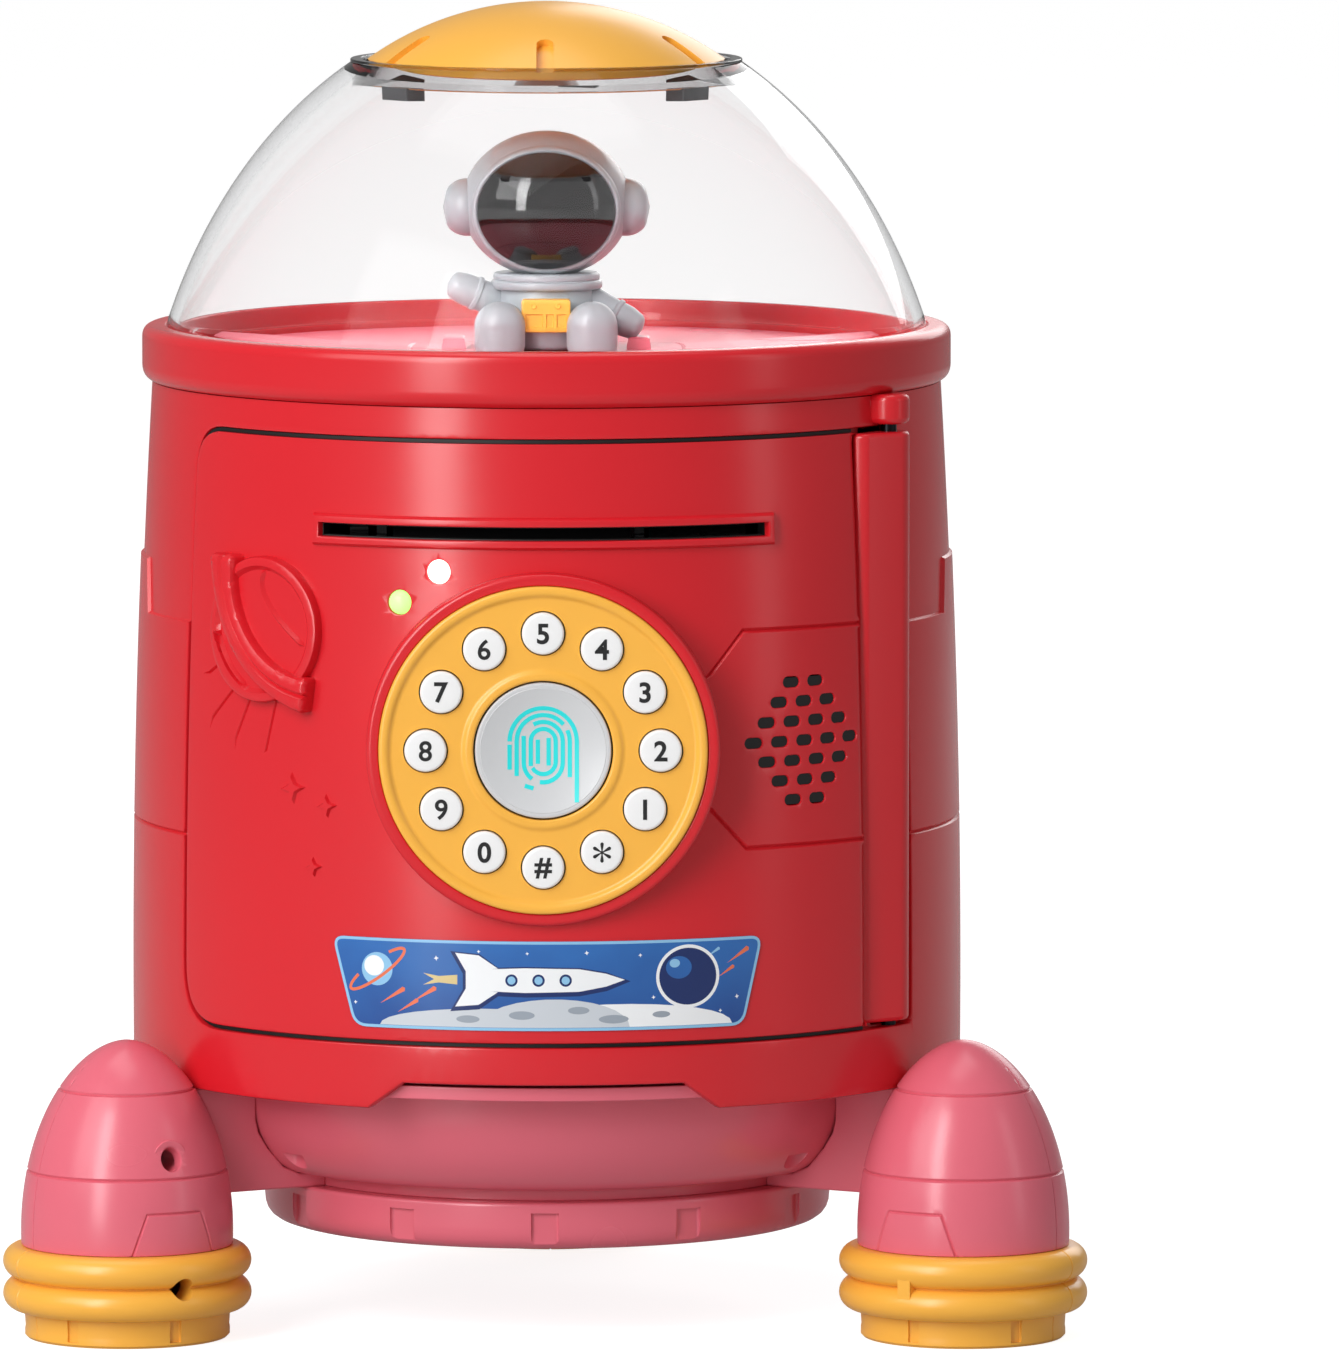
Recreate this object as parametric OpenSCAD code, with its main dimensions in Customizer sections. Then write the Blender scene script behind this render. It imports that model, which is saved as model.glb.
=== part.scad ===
// Rocket-shaped toy safe coin bank: a barrel safe on three booster feet, with a swinging
// keypad door, a motor-fed banknote slot and a clear dome over a turning astronaut.
// Millimetres, +Z up, the door faces -Y. The origin is on the floor, under the middle of
// the whole object's footprint; the barrel's own axis stands at x = 0, y = axis_y.
// Azimuths are degrees round the barrel axis, from the front (-Y) towards +X.

/* [Barrel] */
// Radius of the barrel at its fullest height
barrel_r = 78.7; // [76:0.1:79.5]
// Height of the fullest point of the barrel
barrel_full_z = 62; // [58:1:70]
// How much the barrel narrows from its fullest point to its top
barrel_taper = 3.4; // [2.5:0.1:3.6]
// Height of the barrel's lower edge above the floor
barrel_bottom_z = 46.2; // [46:0.1:46.4]
// Height of the barrel's upper edge, under the rim ring
barrel_top_z = 176.5; // [176:0.1:177]
// Thickness of the moulded walls
wall = 2.5; // [2.3:0.1:2.6]
// Height of the small inward step round the barrel
step_z = 142.6; // [141:0.1:144]
// Depth of that step
step_in = 0.6; // [0.3:0.1:0.8]

/* [Rim and dome] */
// Outer radius of the rim ring
rim_r = 76.6; // [76:0.1:78]
// Top of the rim ring
rim_top_z = 187; // [186:0.1:188]
// Outer radius of the dome's ellipse at its widest level
dome_r = 77.7; // [77.5:0.1:78]
// Level of the widest point of that ellipse
dome_mid_z = 150; // [149:1:151]
// Height of the ellipse above that level
dome_h = 98.5; // [98:0.1:99]
// Outer radius of the dark collar in the dome's mouth
collar_r = 36.8; // [36.5:0.1:37]
// Radius of the yellow cap's band
cap_r = 33.8; // [33:0.1:33.8]
// Highest point of the cap
cap_top_z = 248; // [247:0.1:249]
// Radius of curvature of the cap's crown
cap_crown_r = 58; // [56:1:60]

/* [Deck] */
// Radius of the turning deck
deck_r = 68; // [66:0.5:68.5]
// Top surface of the turning deck
deck_top_z = 182; // [181.8:0.1:182.2]
// Teeth of the gear under the turning deck
deck_teeth = 40; // [36:4:44]
// Teeth of the motor's pinion
pinion_teeth = 12; // [10:1:14]
// Gear module of that pair: pitch diameter in millimetres for each tooth
deck_module = 1.0; // [0.9:0.1:1.0]

/* [Door] */
// Left edge of the door, in degrees
door_left_az = -59; // [-60:0.5:-58]
// Bottom edge of the door
door_bottom_z = 59; // [58.8:0.1:60]
// Top edge of the door
door_top_z = 170; // [168:0.1:170.2]
// Clear line all round the door
door_gap = 0.8; // [0.5:0.1:1]
// Radius of the door's upper free corner
corner_top_r = 8; // [6:0.5:10]
// Radius of the door's lower free corner
corner_bottom_r = 11; // [8:0.5:13]
// Azimuth of the hinge axis
hinge_az = 57.4; // [57:0.1:58]
// Distance of the hinge axis from the barrel axis
hinge_axis_r = 76.25; // [76:0.05:76.5]
// Radius of the hinge barrel
hinge_r = 3.9; // [3.6:0.1:4]
// Radius of the steel hinge pin
hinge_pin_r = 1.5; // [1.2:0.1:1.8]
// Radial running clearance of shafts and pins
running_gap = 0.06; // [0.02:0.01:0.1]

/* [Banknote slot] */
// Height of the middle of the banknote slot
slot_z = 153.5; // [152:0.1:155]
// Height of the slot's opening
slot_h = 2.5; // [2.2:0.1:3]
// Width of the slot, measured straight across
slot_w = 82; // [78:1:84]
// Radius of the two feed rollers
roller_r = 4.2; // [4:0.1:4.3]
// Distance of the rollers' axes in front of the barrel axis
roller_y = 57.5; // [57:0.1:57.8]

/* [Dial] */
// Height of the middle of the dial
dial_z = 113.8; // [112:0.1:115]
// Distance of the dial's face in front of the barrel axis
dial_face = 80.5; // [80:0.1:81.5]
// Radius of the yellow dial plate
dial_r = 30.4; // [30:0.1:30.6]
// Radius of the red ring round the dial plate
dial_ring_r = 32.7; // [32.5:0.1:33]
// Radius of a number key
key_r = 3.9; // [3.7:0.1:4]
// Radius of the circle of keys
key_circle_r = 21.7; // [21.5:0.1:21.8]
// Travel of a number key
key_travel = 1.5; // [1:0.1:1.6]
// Radius of the fingerprint button
finger_r = 12.6; // [12:0.1:12.8]

/* [Boosters] */
// Distance of each booster's axis from the barrel axis
pod_axis_r = 90.5; // [90:0.1:91]
// Fullest radius of a booster's pink body
pod_r = 19.9; // [19.5:0.1:20]
// Top of a booster's nose
pod_top_z = 55.8; // [54:0.1:56]
// Top of a booster's yellow foot
foot_top_z = 17.4; // [17:0.1:18]
// Outer radius of the foot's two beads
bead_reach = 23.3; // [23:0.1:24]
// Radius of the foot's sole
sole_r = 18.9; // [18:0.1:19.5]

/* [Hidden] */
$fn = 96;

RED = [0.85, 0.14, 0.18];
PINK = [0.87, 0.42, 0.47];
YELLOW = [0.99, 0.75, 0.31];
GREY = [0.78, 0.78, 0.79];
WHITE = [0.94, 0.94, 0.94];
DARK = [0.13, 0.13, 0.15];
STEEL = [0.7, 0.71, 0.73];

LEFT_AZ = -60;
RIGHT_AZ = 60;
REAR_AZ = 180;
BIG = 400;          // larger than the whole object, for cutting away half spaces

key_proud = 1;      // how far the keys stand out of the dial's face
axis_y = (dial_face + key_proud - pod_axis_r - bead_reach) / 2;

// ---------- shared shapes ----------

// Radius of the barrel's outside at a height, before the step is taken in
function smooth_r(z) =
    barrel_r - barrel_taper * pow((z - barrel_full_z) / (barrel_top_z - barrel_full_z), 2);

// Radius of the barrel's real outside at a height
function barrel_at(z) = smooth_r(z) - (z > step_z ? step_in : 0);

// The barrel's outline from z0 to z1, moved in by an inset, with the step in it
function outline(inset, z0, z1) = concat(
    [for (i = [0:8]) let (z = z0 + (step_z - z0) * i / 8) [smooth_r(z) - inset, z]],
    [for (i = [0:4]) let (z = step_z + (z1 - step_z) * i / 4)
        [smooth_r(z) - step_in - inset, z]]
);

function backwards(points) = [for (i = [len(points) - 1:-1:0]) points[i]];

// Places children on the barrel axis
module on_axis() translate([0, axis_y, 0]) children();

// Turns children, which face -Y, to an azimuth
module at_az(az) rotate([0, 0, az]) children();

// Places children on the barrel's skin at an azimuth, height and radius, facing outwards
module on_skin(az, z, r) at_az(az) translate([0, -r, z]) rotate([90, 0, 0]) children();

// Places children on the dial's face, with their +Z out of it
module on_dial() translate([0, -dial_face, dial_z]) rotate([90, 0, 0]) children();

// A ring that follows the barrel's skin, between two insets
module barrel_band(outer_inset, inner_inset, z0, z1)
    rotate_extrude()
        polygon(concat(outline(outer_inset, z0, z1), backwards(outline(inner_inset, z0, z1))));

// A wedge of a full cylinder between two azimuths
module sector(az0, az1, r, z0, z1)
    rotate([0, 0, az0 - 90]) rotate_extrude(angle = az1 - az0)
        translate([0, z0]) square([r, z1 - z0]);

// A plain tube
module tube(r_out, r_in, z0, z1)
    translate([0, 0, z0]) difference() {
        cylinder(r = r_out, h = z1 - z0);
        translate([0, 0, -1]) cylinder(r = r_in, h = z1 - z0 + 2);
    }

// A bar along X with round ends, for slots and bosses
module stadium(length, width, h) {
    cube([length - width, width, h], center = true);
    for (s = [-1, 1])
        translate([s * (length - width) / 2, 0, 0]) cylinder(r = width / 2, h = h, center = true);
}

// A small spur gear with slim straight-sided teeth
module gear(teeth, mod, h, bore_r, turn = 0) {
    pitch_r = teeth * mod / 2;
    tip_r = pitch_r + 0.75 * mod;
    root_r = pitch_r - 1.15 * mod;
    step = 360 / teeth;
    difference() {
        linear_extrude(h) rotate(turn) polygon([
            for (i = [0:teeth - 1], p = [[root_r, -0.3], [tip_r, -0.11], [tip_r, 0.11], [root_r, 0.3]])
                p[0] * [cos((i + p[1]) * step), sin((i + p[1]) * step)]
        ]);
        translate([0, 0, -1]) cylinder(r = bore_r, h = h + 2);
    }
}

// ---------- barrel safe ----------

opening_left_az = door_left_az - 0.6;
opening_right_az = 61;
frame_lap = 4;      // how far the inner frame reaches behind the door's edges

// Fills the square corner that a round corner leaves, at one azimuth and height
module corner_fill(az, z, r, up)
    at_az(az) translate([0, 0, z]) mirror([0, 0, up ? 1 : 0]) difference() {
        translate([-2, -BIG / 4, -2]) cube([r + 2, BIG / 4, r + 2]);
        translate([r, 1, r]) rotate([90, 0, 0]) cylinder(r = r, h = BIG / 4 + 2);
    }

// The door's outline as a thick wedge, grown by a margin
module door_outline(left_az, right_az, margin)
    difference() {
        sector(left_az, right_az, BIG / 4, door_bottom_z - margin, door_top_z + margin);
        corner_fill(left_az, door_top_z + margin, corner_top_r + margin, true);
        corner_fill(left_az, door_bottom_z - margin, corner_bottom_r + margin, false);
    }

hinge_lug_top = [171.2, barrel_top_z];
hinge_lug_bottom = [51, 58.2];

module at_hinge() at_az(hinge_az) translate([0, -hinge_axis_r, 0]) children();

coin_slot_z = 150;
coin_slot_w = 31;
coin_slot_h = 3.4;

module barrel_shell() color(RED) on_axis() difference() {
    union() {
        difference() {
            barrel_band(0, wall, barrel_bottom_z, barrel_top_z);
            door_outline(opening_left_az, opening_right_az, door_gap);
            // notch with slanting ends in the lower edge at the front
            translate([0, 0, barrel_bottom_z]) rotate([90, 0, 0]) linear_extrude(BIG / 4)
                polygon([[-34, -1], [-26, 5], [26, 5], [34, -1]]);
        }
        // frame that the door closes against
        difference() {
            intersection() {
                barrel_band(wall - 0.5, wall + 2.6, 53, 172.3);
                sector(-65, 68, BIG / 4, 53, 172.3);
            }
            door_outline(door_left_az + 3, opening_right_az + 1.5, -frame_lap);
            intersection() {
                barrel_band(-2, wall + 0.4, 55, 172.2);
                door_outline(opening_left_az, opening_right_az + 1.5, door_gap);
            }
        }
        at_hinge() translate([0, 0, hinge_lug_top[0]])
            cylinder(r = hinge_r, h = hinge_lug_top[1] - hinge_lug_top[0]);
        // the lower lug is flush with the skin
        intersection() {
            at_hinge() translate([0, 0, hinge_lug_bottom[0]])
                cylinder(r = hinge_r, h = hinge_lug_bottom[1] - hinge_lug_bottom[0]);
            barrel_band(0, 10, barrel_bottom_z, door_bottom_z);
        }
    }
    at_hinge() translate([0, 0, hinge_lug_bottom[0] + 1]) cylinder(r = hinge_pin_r, h = 123.5);
    on_skin(REAR_AZ, coin_slot_z, barrel_r) stadium(coin_slot_w, coin_slot_h, 20);
    // clearance round the turning hinge barrel
    at_hinge() translate([0, 0, hinge_lug_bottom[1]])
        cylinder(r = hinge_r + door_gap, h = hinge_lug_top[0] - hinge_lug_bottom[1]);
}

module hinge_pin() color(STEEL) on_axis() at_hinge()
    translate([0, 0, hinge_lug_bottom[0] + 1]) cylinder(r = hinge_pin_r, h = 123.5);

ledge_z = 183;      // the dome stands on this ledge inside the rim
ledge_r = 70.2;
rim_inner_r = 72;
rim_round = 3.2;

module rim_ring() color(RED) on_axis() rotate_extrude() difference() {
    union() {
        translate([ledge_r, barrel_top_z])
            square([rim_r - rim_round - ledge_r, rim_top_z - barrel_top_z]);
        translate([ledge_r, barrel_top_z + rim_round])
            square([rim_r - ledge_r, rim_top_z - barrel_top_z - 2 * rim_round]);
        for (z = [barrel_top_z + rim_round, rim_top_z - rim_round])
            translate([rim_r - rim_round, z]) circle(r = rim_round);
    }
    // seat of the dome
    translate([0, ledge_z]) square([rim_inner_r, rim_top_z]);
}

module coin_chute() color(GREY) on_axis() intersection() {
    rotate_extrude() polygon(concat([[0, 120], [0, 165]], backwards(outline(wall, 120, 165))));
    at_az(REAR_AZ) translate([0, 0, coin_slot_z]) difference() {
        translate([-18, -76, -22]) cube([36, 26, 27]);
        // sloping way down into the safe
        translate([-coin_slot_w / 2 - 0.8, 0, 0]) rotate([90, 0, 90])
            linear_extrude(coin_slot_w + 1.6)
                polygon([[-77, -2.2], [-77, 2.6], [-60, 2.6], [-49, -4], [-49, -30], [-55, -24]]);
    }
}

// ---------- clear dome and cap ----------

function dome_at(z) = dome_r * sqrt(1 - pow((z - dome_mid_z) / dome_h, 2));

dome_wall = 2;
dome_foot_z = rim_top_z + 0.2;
dome_mouth_z = 236.6;

function dome_curve(inset) = [
    for (i = [0:14]) let (z = dome_foot_z + (dome_mouth_z - dome_foot_z) * i / 14)
        [dome_at(z) - inset, z - inset * (z - dome_foot_z) / (dome_mouth_z - dome_foot_z)]
];

module dome() color([0.85, 0.9, 0.95, 0.35]) on_axis() difference() {
    rotate_extrude() polygon(concat(
        [[rim_inner_r - 0.3 - dome_wall, ledge_z], [rim_inner_r - 0.3, ledge_z]],
        dome_curve(0), backwards(dome_curve(dome_wall))
    ));
    translate([0, 0, dome_mouth_z - 10]) cylinder(r = collar_r, h = 20);
}

collar_bottom_z = 232;
collar_top_z = 237.2;
tab_az = [-50, 50, 170];

module dome_collar() color(DARK) on_axis() {
    tube(collar_r, cap_r + 0.4, collar_bottom_z, collar_top_z);
    // bayonet tabs under the collar
    for (az = tab_az) intersection() {
        tube(collar_r, cap_r - 1.6, collar_bottom_z - 2, collar_bottom_z + 0.5);
        sector(az - 6, az + 6, BIG / 4, collar_bottom_z - 3, collar_bottom_z + 1);
    }
}

cap_seam_z = cap_top_z - cap_crown_r + sqrt(pow(cap_crown_r, 2) - pow(cap_r, 2));
cap_bottom_z = 233.4;

module cap_crown(inset) intersection() {
    translate([0, 0, cap_top_z - cap_crown_r]) sphere(r = cap_crown_r - inset);
    translate([0, 0, cap_bottom_z - 1]) cylinder(r = cap_r - inset, h = 20);
}

module cap() color(YELLOW) on_axis() difference() {
    intersection() {
        cap_crown(0);
        translate([0, 0, cap_bottom_z]) cylinder(r = cap_r, h = 20);
    }
    difference() {
        cap_crown(1.8);
        // cross rib that stiffens the cap
        for (turn = [0, 90])
            rotate(turn) translate([-1, -cap_r, cap_bottom_z + 4]) cube([2, 2 * cap_r, 20]);
    }
    // finger notches round the edge
    for (i = [0:5]) at_az(i * 60) translate([0, -cap_r + 0.6, cap_seam_z])
        cube([3.2, 2.4, 3], center = true);
}

// ---------- deck and turntable ----------

deck_frame_z = [172.6, 175.4];
deck_gear_z = [176.6, 179.5];
pinion_y = (deck_teeth + pinion_teeth) * deck_module / 2;
post_r = 3;

module deck_frame() color(PINK) on_axis() difference() {
    union() {
        rotate_extrude() polygon([
            [0, deck_frame_z[0]], [0, deck_frame_z[1]],
            [barrel_at(deck_frame_z[1]) - wall, deck_frame_z[1]],
            [barrel_at(deck_frame_z[0]) - wall, deck_frame_z[0]]
        ]);
        translate([0, 0, deck_frame_z[0]]) cylinder(r = post_r, h = 8);
    }
    translate([0, pinion_y, 0]) cylinder(r = 2.4, h = BIG);
    for (s = [-1, 1]) translate([s * 10, -45, 0]) cylinder(r = 2.6, h = BIG);
}

module turntable() color(PINK) on_axis() difference() {
    union() {
        translate([0, 0, deck_gear_z[1]]) cylinder(r = deck_r, h = deck_top_z - deck_gear_z[1]);
        translate([0, 0, deck_gear_z[0]])
            gear(deck_teeth, deck_module, deck_gear_z[1] - deck_gear_z[0] + 0.5, post_r + 1);
        translate([0, 0, deck_frame_z[1] + 0.3]) cylinder(r = 7, h = 5);
    }
    translate([0, 0, deck_frame_z[1] - 1]) cylinder(r = post_r + running_gap, h = 6.4);
}

// The pinion sits behind the post; half a tooth pitch turns a gap towards the deck's gear
module motor_pinion() color(WHITE) on_axis() translate([0, pinion_y, 0]) {
    translate([0, 0, deck_gear_z[0]])
        gear(pinion_teeth, deck_module, 2.6, 0.5, 90 + 180 / pinion_teeth);
    translate([0, 0, 165]) cylinder(r = 1, h = deck_gear_z[0] + 1 - 165);
}

module turntable_motor() color(STEEL) on_axis() translate([0, pinion_y, 0])
    tube(8, 1 + running_gap, 155, deck_frame_z[0]);

module light_board() color([0.2, 0.5, 0.3]) on_axis() {
    translate([-18, -53, deck_frame_z[0] - 1.6]) cube([36, 16, 1.6]);
    for (s = [-1, 1]) translate([s * 10, -45, deck_frame_z[0] - 1]) {
        cylinder(r = 2.4, h = 3);
        translate([0, 0, 2.6]) sphere(r = 2.4, $fn = 32);
    }
}

// ---------- astronaut ----------

helmet_z = 209.8;
helmet_w = 16;      // half width of the helmet
helmet_h = 13.9;    // half height of the helmet

module helmet(grow) rotate_extrude() intersection() {
    polygon([for (a = [-90:7.5:90]) [(helmet_w + grow) * cos(a), helmet_z + (helmet_h + grow) * sin(a)]]);
    translate([0, 150]) square([40, 100]);
}

module visor_prism() translate([0, 0, helmet_z - 0.8]) rotate([90, 0, 0]) linear_extrude(30)
    polygon([for (a = [0:10:350]) [12.7 * cos(a), 10.8 * sin(a)]]);

// A round limb from one point to another, with a ball at its far end
module limb(from, to, r) {
    d = to - from;
    translate(from) rotate([0, acos(d[2] / norm(d)), atan2(d[1], d[0])]) rotate_extrude()
        polygon([[0, 0], [r, 0], for (a = [0:15:90]) [r * cos(a), norm(d) + r * sin(a)]]);
}

module chest_block() translate([-4.65, -12.4, 186]) cube([9.3, 3, 6.5]);

module astronaut() color(GREY) on_axis() difference() {
    union() {
        helmet(0);
        translate([0, 0, deck_top_z]) cylinder(r1 = 10.6, r2 = 10, h = 11.5);
        translate([0, 0, 193]) cylinder(r = 11.4, h = 3.6);
        for (s = [-1, 1]) {
            translate([s * 13, 0, helmet_z - 0.6]) rotate([0, s * 90, 0]) cylinder(r = 5.5, h = 6.5);
            limb([s * 8, -3, 186.6], [s * 9.6, -15, 186.6], 4.5);
        }
        limb([9, 0, 190.5], [16.3, -2, 187.5], 2.9);
        limb([-9, 0, 190.5], [-16.3, -2, 193.8], 2.9);
    }
    chest_block();
}

module visor() color(DARK) on_axis() intersection() {
    difference() {
        helmet(0.6);
        helmet(0);
    }
    visor_prism();
}

module chest_panel() color(YELLOW) on_axis() {
    chest_block();
    for (i = [0:2]) translate([-2.8 + 2.4 * i, -12.8, 187.2]) cube([1.6, 0.6, 2]);
    for (s = [0, 1]) translate([-2.6 + 1.8 * s, -12.3, 191]) rotate([90, 0, 0])
        cylinder(r = 0.6, h = 0.6, $fn = 24);
}

// ---------- pink base ----------

bowl_lip_z = 26;
bowl_floor_z = [48, 50.5];
battery_z = 28.2;

// The bowl's outside, moved in by an inset, from its lip up to the floor
function bowl_curve(inset) = [
    [50.4 - inset, bowl_lip_z], [50.4 - inset, 28.7], [55.9 - inset, 28.7 + inset / 3],
    [59.3 - inset, 30.2 + inset / 3], [62.7 - inset, 34 + inset / 4], [64.6 - inset, 37],
    [65.2 - inset, 39.4], [65.2 - inset, bowl_floor_z[0] + 1]
];

base_screw_az = [-30, 30, 150, 210];
base_screw_r = 42.5;

module lower_bowl() color(PINK) on_axis() difference() {
    union() {
        rotate_extrude() polygon(concat(bowl_curve(0), backwards(bowl_curve(wall))));
        rotate_extrude() polygon([
            [0, bowl_floor_z[0]], [barrel_at(bowl_floor_z[0]) - wall, bowl_floor_z[0]],
            [barrel_at(bowl_floor_z[1]) - wall, bowl_floor_z[1]], [0, bowl_floor_z[1]]
        ]);
        for (az = base_screw_az) at_az(az) translate([0, -base_screw_r, 24.1])
            cylinder(r = 4, h = bowl_floor_z[0] - 24);
    }
    for (az = base_screw_az) at_az(az) translate([0, -base_screw_r, 24])
        cylinder(r = 1.3, h = 13);
    // upright screw wells in the shoulder
    for (az = [-50, 50]) at_az(az) translate([0, -62.4, 24]) cylinder(r = 3, h = 9.5);
}

nozzle_r = 53.8;
nozzle_z = [16.9, bowl_lip_z];
nozzle_floor_z = 19.4;
battery_hole = [54, 46];
switch_at = [0, 38];

module nozzle_base() color(PINK) on_axis() difference() {
    union() {
        rotate_extrude() {
            polygon([
                [0, nozzle_z[0]], [nozzle_r - 5, nozzle_z[0]],
                for (a = [-75:15:0]) [nozzle_r - 5 + 5 * cos(a), nozzle_z[0] + 5 + 5 * sin(a)],
                [nozzle_r, nozzle_z[1]], [47.5, nozzle_z[1]], [47.5, nozzle_z[1] - 2.2],
                [nozzle_r - wall, nozzle_z[1] - 2.2], [nozzle_r - wall, 22],
                [nozzle_r - wall - 2, nozzle_floor_z], [0, nozzle_floor_z]
            ]);
        }
        for (az = base_screw_az) at_az(az) translate([0, -base_screw_r, nozzle_z[0]])
            cylinder(r = 4.6, h = 24 - nozzle_z[0]);
    }
    for (az = base_screw_az) at_az(az) translate([0, -base_screw_r, 0]) {
        cylinder(r = 1.5, h = 60);
        cylinder(r = 2.8, h = 21);
    }
    translate([0, 0, 18]) cube([battery_hole[0], battery_hole[1], 10], center = true);
    translate([switch_at[0], switch_at[1], 18]) cube([12, 4, 10], center = true);
    // shallow notches round the side
    for (i = [0:11]) at_az(i * 30) translate([0, -nozzle_r, 22]) cube([5.2, 1.4, 20], center = true);
}

module power_switch() color(DARK) on_axis()
    translate([switch_at[0] - 5.7, switch_at[1] - 1.7, nozzle_z[0] + 0.4]) {
        cube([6, 3.4, 2.5]);
        translate([2, 0.7, -0.4]) cube([2, 2, 0.5]);
        translate([-1, -1, 2.7]) cube([8, 5.4, 1]);
        translate([0, 0, 2.4]) cube([6, 3.4, 0.5]);
    }

module base_screws() color(STEEL) on_axis()
    for (az = base_screw_az) at_az(az) translate([0, -base_screw_r, 0]) {
        translate([0, 0, 19]) cylinder(r = 2.6, h = 2);
        translate([0, 0, 20.5]) cylinder(r = 1.25, h = 14);
    }

box_top_z = 39;

module battery_box() color(DARK) on_axis() difference() {
    translate([-29, -25, nozzle_floor_z]) cube([58, 50, box_top_z - nozzle_floor_z]);
    translate([-27, -23, nozzle_floor_z - 1]) cube([54, 46, box_top_z - nozzle_floor_z - 1]);
}

battery_r = 7.1;
battery_l = 49.4;

module batteries() color([0.2, 0.25, 0.3]) on_axis()
    for (i = [-1:1]) translate([-battery_l / 2, i * 15.1, battery_z]) rotate([0, 90, 0])
        cylinder(r = battery_r, h = battery_l);

module battery_contacts() color(STEEL) on_axis()
    for (i = [-1:1], s = [-1, 1])
        translate([s * (battery_l / 2 + 1.15), i * 15.1, battery_z])
            cube([2.3, 8, 10], center = true);

module battery_door() color(PINK) on_axis() {
    translate([-26.7, -22.7, nozzle_z[0]]) cube([53.4, 45.4, 2.2]);
    for (s = [-1, 1]) translate([s * 16, 0, nozzle_z[0] + 2.2]) cube([8, 40, 1.6], center = true);
}

// ---------- boosters ----------

pod_full_z = 20;

// Radius of a booster's body at a height
function pod_at(z) = pod_r * pow(1 - pow((z - pod_full_z) / (pod_top_z - pod_full_z), 2), 0.55);

function pod_curve(inset) = concat(
    [for (i = [0:13]) let (z = foot_top_z + (pod_top_z - foot_top_z) * (1 - pow(1 - i / 14, 1.5)))
        [max(pod_at(z) - inset, 0.5), z - inset * i / 14]],
    [[0, pod_top_z - inset]]
);

module pod_solid(inset) rotate_extrude()
    polygon(concat([[0, foot_top_z]], pod_curve(inset)));

module at_pod(az) at_az(az) translate([0, -pod_axis_r, 0]) children();

pod_wall = 2.2;
cover_screw_z = 35.2;
foot_screw_z = 11.4;
screw_seat = 8;     // how far the screw heads sit from the parting plane

// One half of a booster; side is +1 for the half with the screw holes, -1 for the other
module booster_half(az, side) color(PINK) on_axis() difference() {
    at_pod(az) difference() {
        intersection() {
            union() {
                difference() {
                    pod_solid(0);
                    translate([0, 0, -0.01]) pod_solid(pod_wall);
                }
                intersection() {
                    pod_solid(1);
                    translate([-20, 0, cover_screw_z]) rotate([0, 90, 0]) cylinder(r = 4, h = 40);
                }
            }
            translate([side > 0 ? 0 : -50, -50, 0]) cube([50, 100, 100]);
        }
        translate([screw_seat, 0, cover_screw_z]) rotate([0, 90, 0]) cylinder(r = 2.25, h = 20);
        translate([-8, 0, cover_screw_z]) rotate([0, 90, 0]) cylinder(r = 1.3, h = 20);
        // parting groove round the nose and round the waist
        for (z = [46.8, 31.5]) translate([0, 0, z]) rotate_extrude()
            translate([pod_at(z) - 0.5, -0.35]) square([2, 0.7]);
        // recessed panel on the side that faces along the barrel
        translate([side * (pod_r + 0.4), 0, 21]) cube([1.8, 14, 7.4], center = true);
    }
    // the nose is relieved where the barrel's lower edge passes it
    translate([0, 0, barrel_bottom_z - 0.4]) cylinder(r = barrel_r + 0.3, h = 30);
}

bead_r = 3.05;

module booster_foot(az) color(YELLOW) on_axis() at_pod(az) difference() {
    rotate_extrude() difference() {
        union() {
            polygon([[0, 0], [sole_r - 0.6, 0], [sole_r, 0.6], [sole_r + 0.4, 6.4], [20.9, 6.4],
                     [20.9, foot_top_z - 1], [19.9, foot_top_z], [0, foot_top_z]]);
            for (z = [foot_top_z - bead_r, foot_top_z - 3 * bead_r])
                translate([bead_reach - bead_r, z]) circle(r = bead_r, $fn = 48);
        }
        translate([-1, 2.2]) square([sole_r - 1.3, 20]);
    }
    for (i = [0:5]) at_az(30 + i * 60) translate([0, -sole_r - 0.4, 2.2])
        cube([2.3, 1.6, 6], center = true);
    translate([screw_seat + 9, 0, foot_screw_z]) rotate([0, 90, 0]) cylinder(r = 2, h = 20);
}

module booster_screws() color(STEEL) on_axis()
    for (az = [LEFT_AZ, RIGHT_AZ, REAR_AZ]) at_pod(az) {
        translate([screw_seat, 0, cover_screw_z]) rotate([0, 90, 0]) cylinder(r = 2.1, h = 1.8);
        translate([-6, 0, cover_screw_z]) rotate([0, 90, 0]) cylinder(r = 1.25, h = screw_seat + 7);
    }

fin_t = 8;

module fins() color(PINK) on_axis() difference() {
    for (az = [LEFT_AZ, RIGHT_AZ, REAR_AZ]) at_az(az)
        translate([-fin_t / 2, -pod_axis_r + 8, bowl_lip_z])
            cube([fin_t, pod_axis_r - 8 - 47, barrel_bottom_z - bowl_lip_z]);
    rotate_extrude() polygon(concat([[0, bowl_lip_z - 1], [50.4, bowl_lip_z - 1]],
        bowl_curve(0), [[0, bowl_floor_z[0] + 1]]));
    for (az = [LEFT_AZ, RIGHT_AZ, REAR_AZ]) at_pod(az) pod_solid(0);
}

// ---------- door ----------

liner_az = [-50, 51];
liner_z = [66, 165.3];
liner_r = 50;
liner_t = 1.6;
grille_az = 38.4;
led_white = [-14.6, 146.3];
led_green = [-20.2, 140.5];
led_r = 2.3;
slot_az = asin(slot_w / 2 / (barrel_r - 2.4));
grille_rows = [2, 3, 4, 5, 4, 3, 2];

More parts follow.
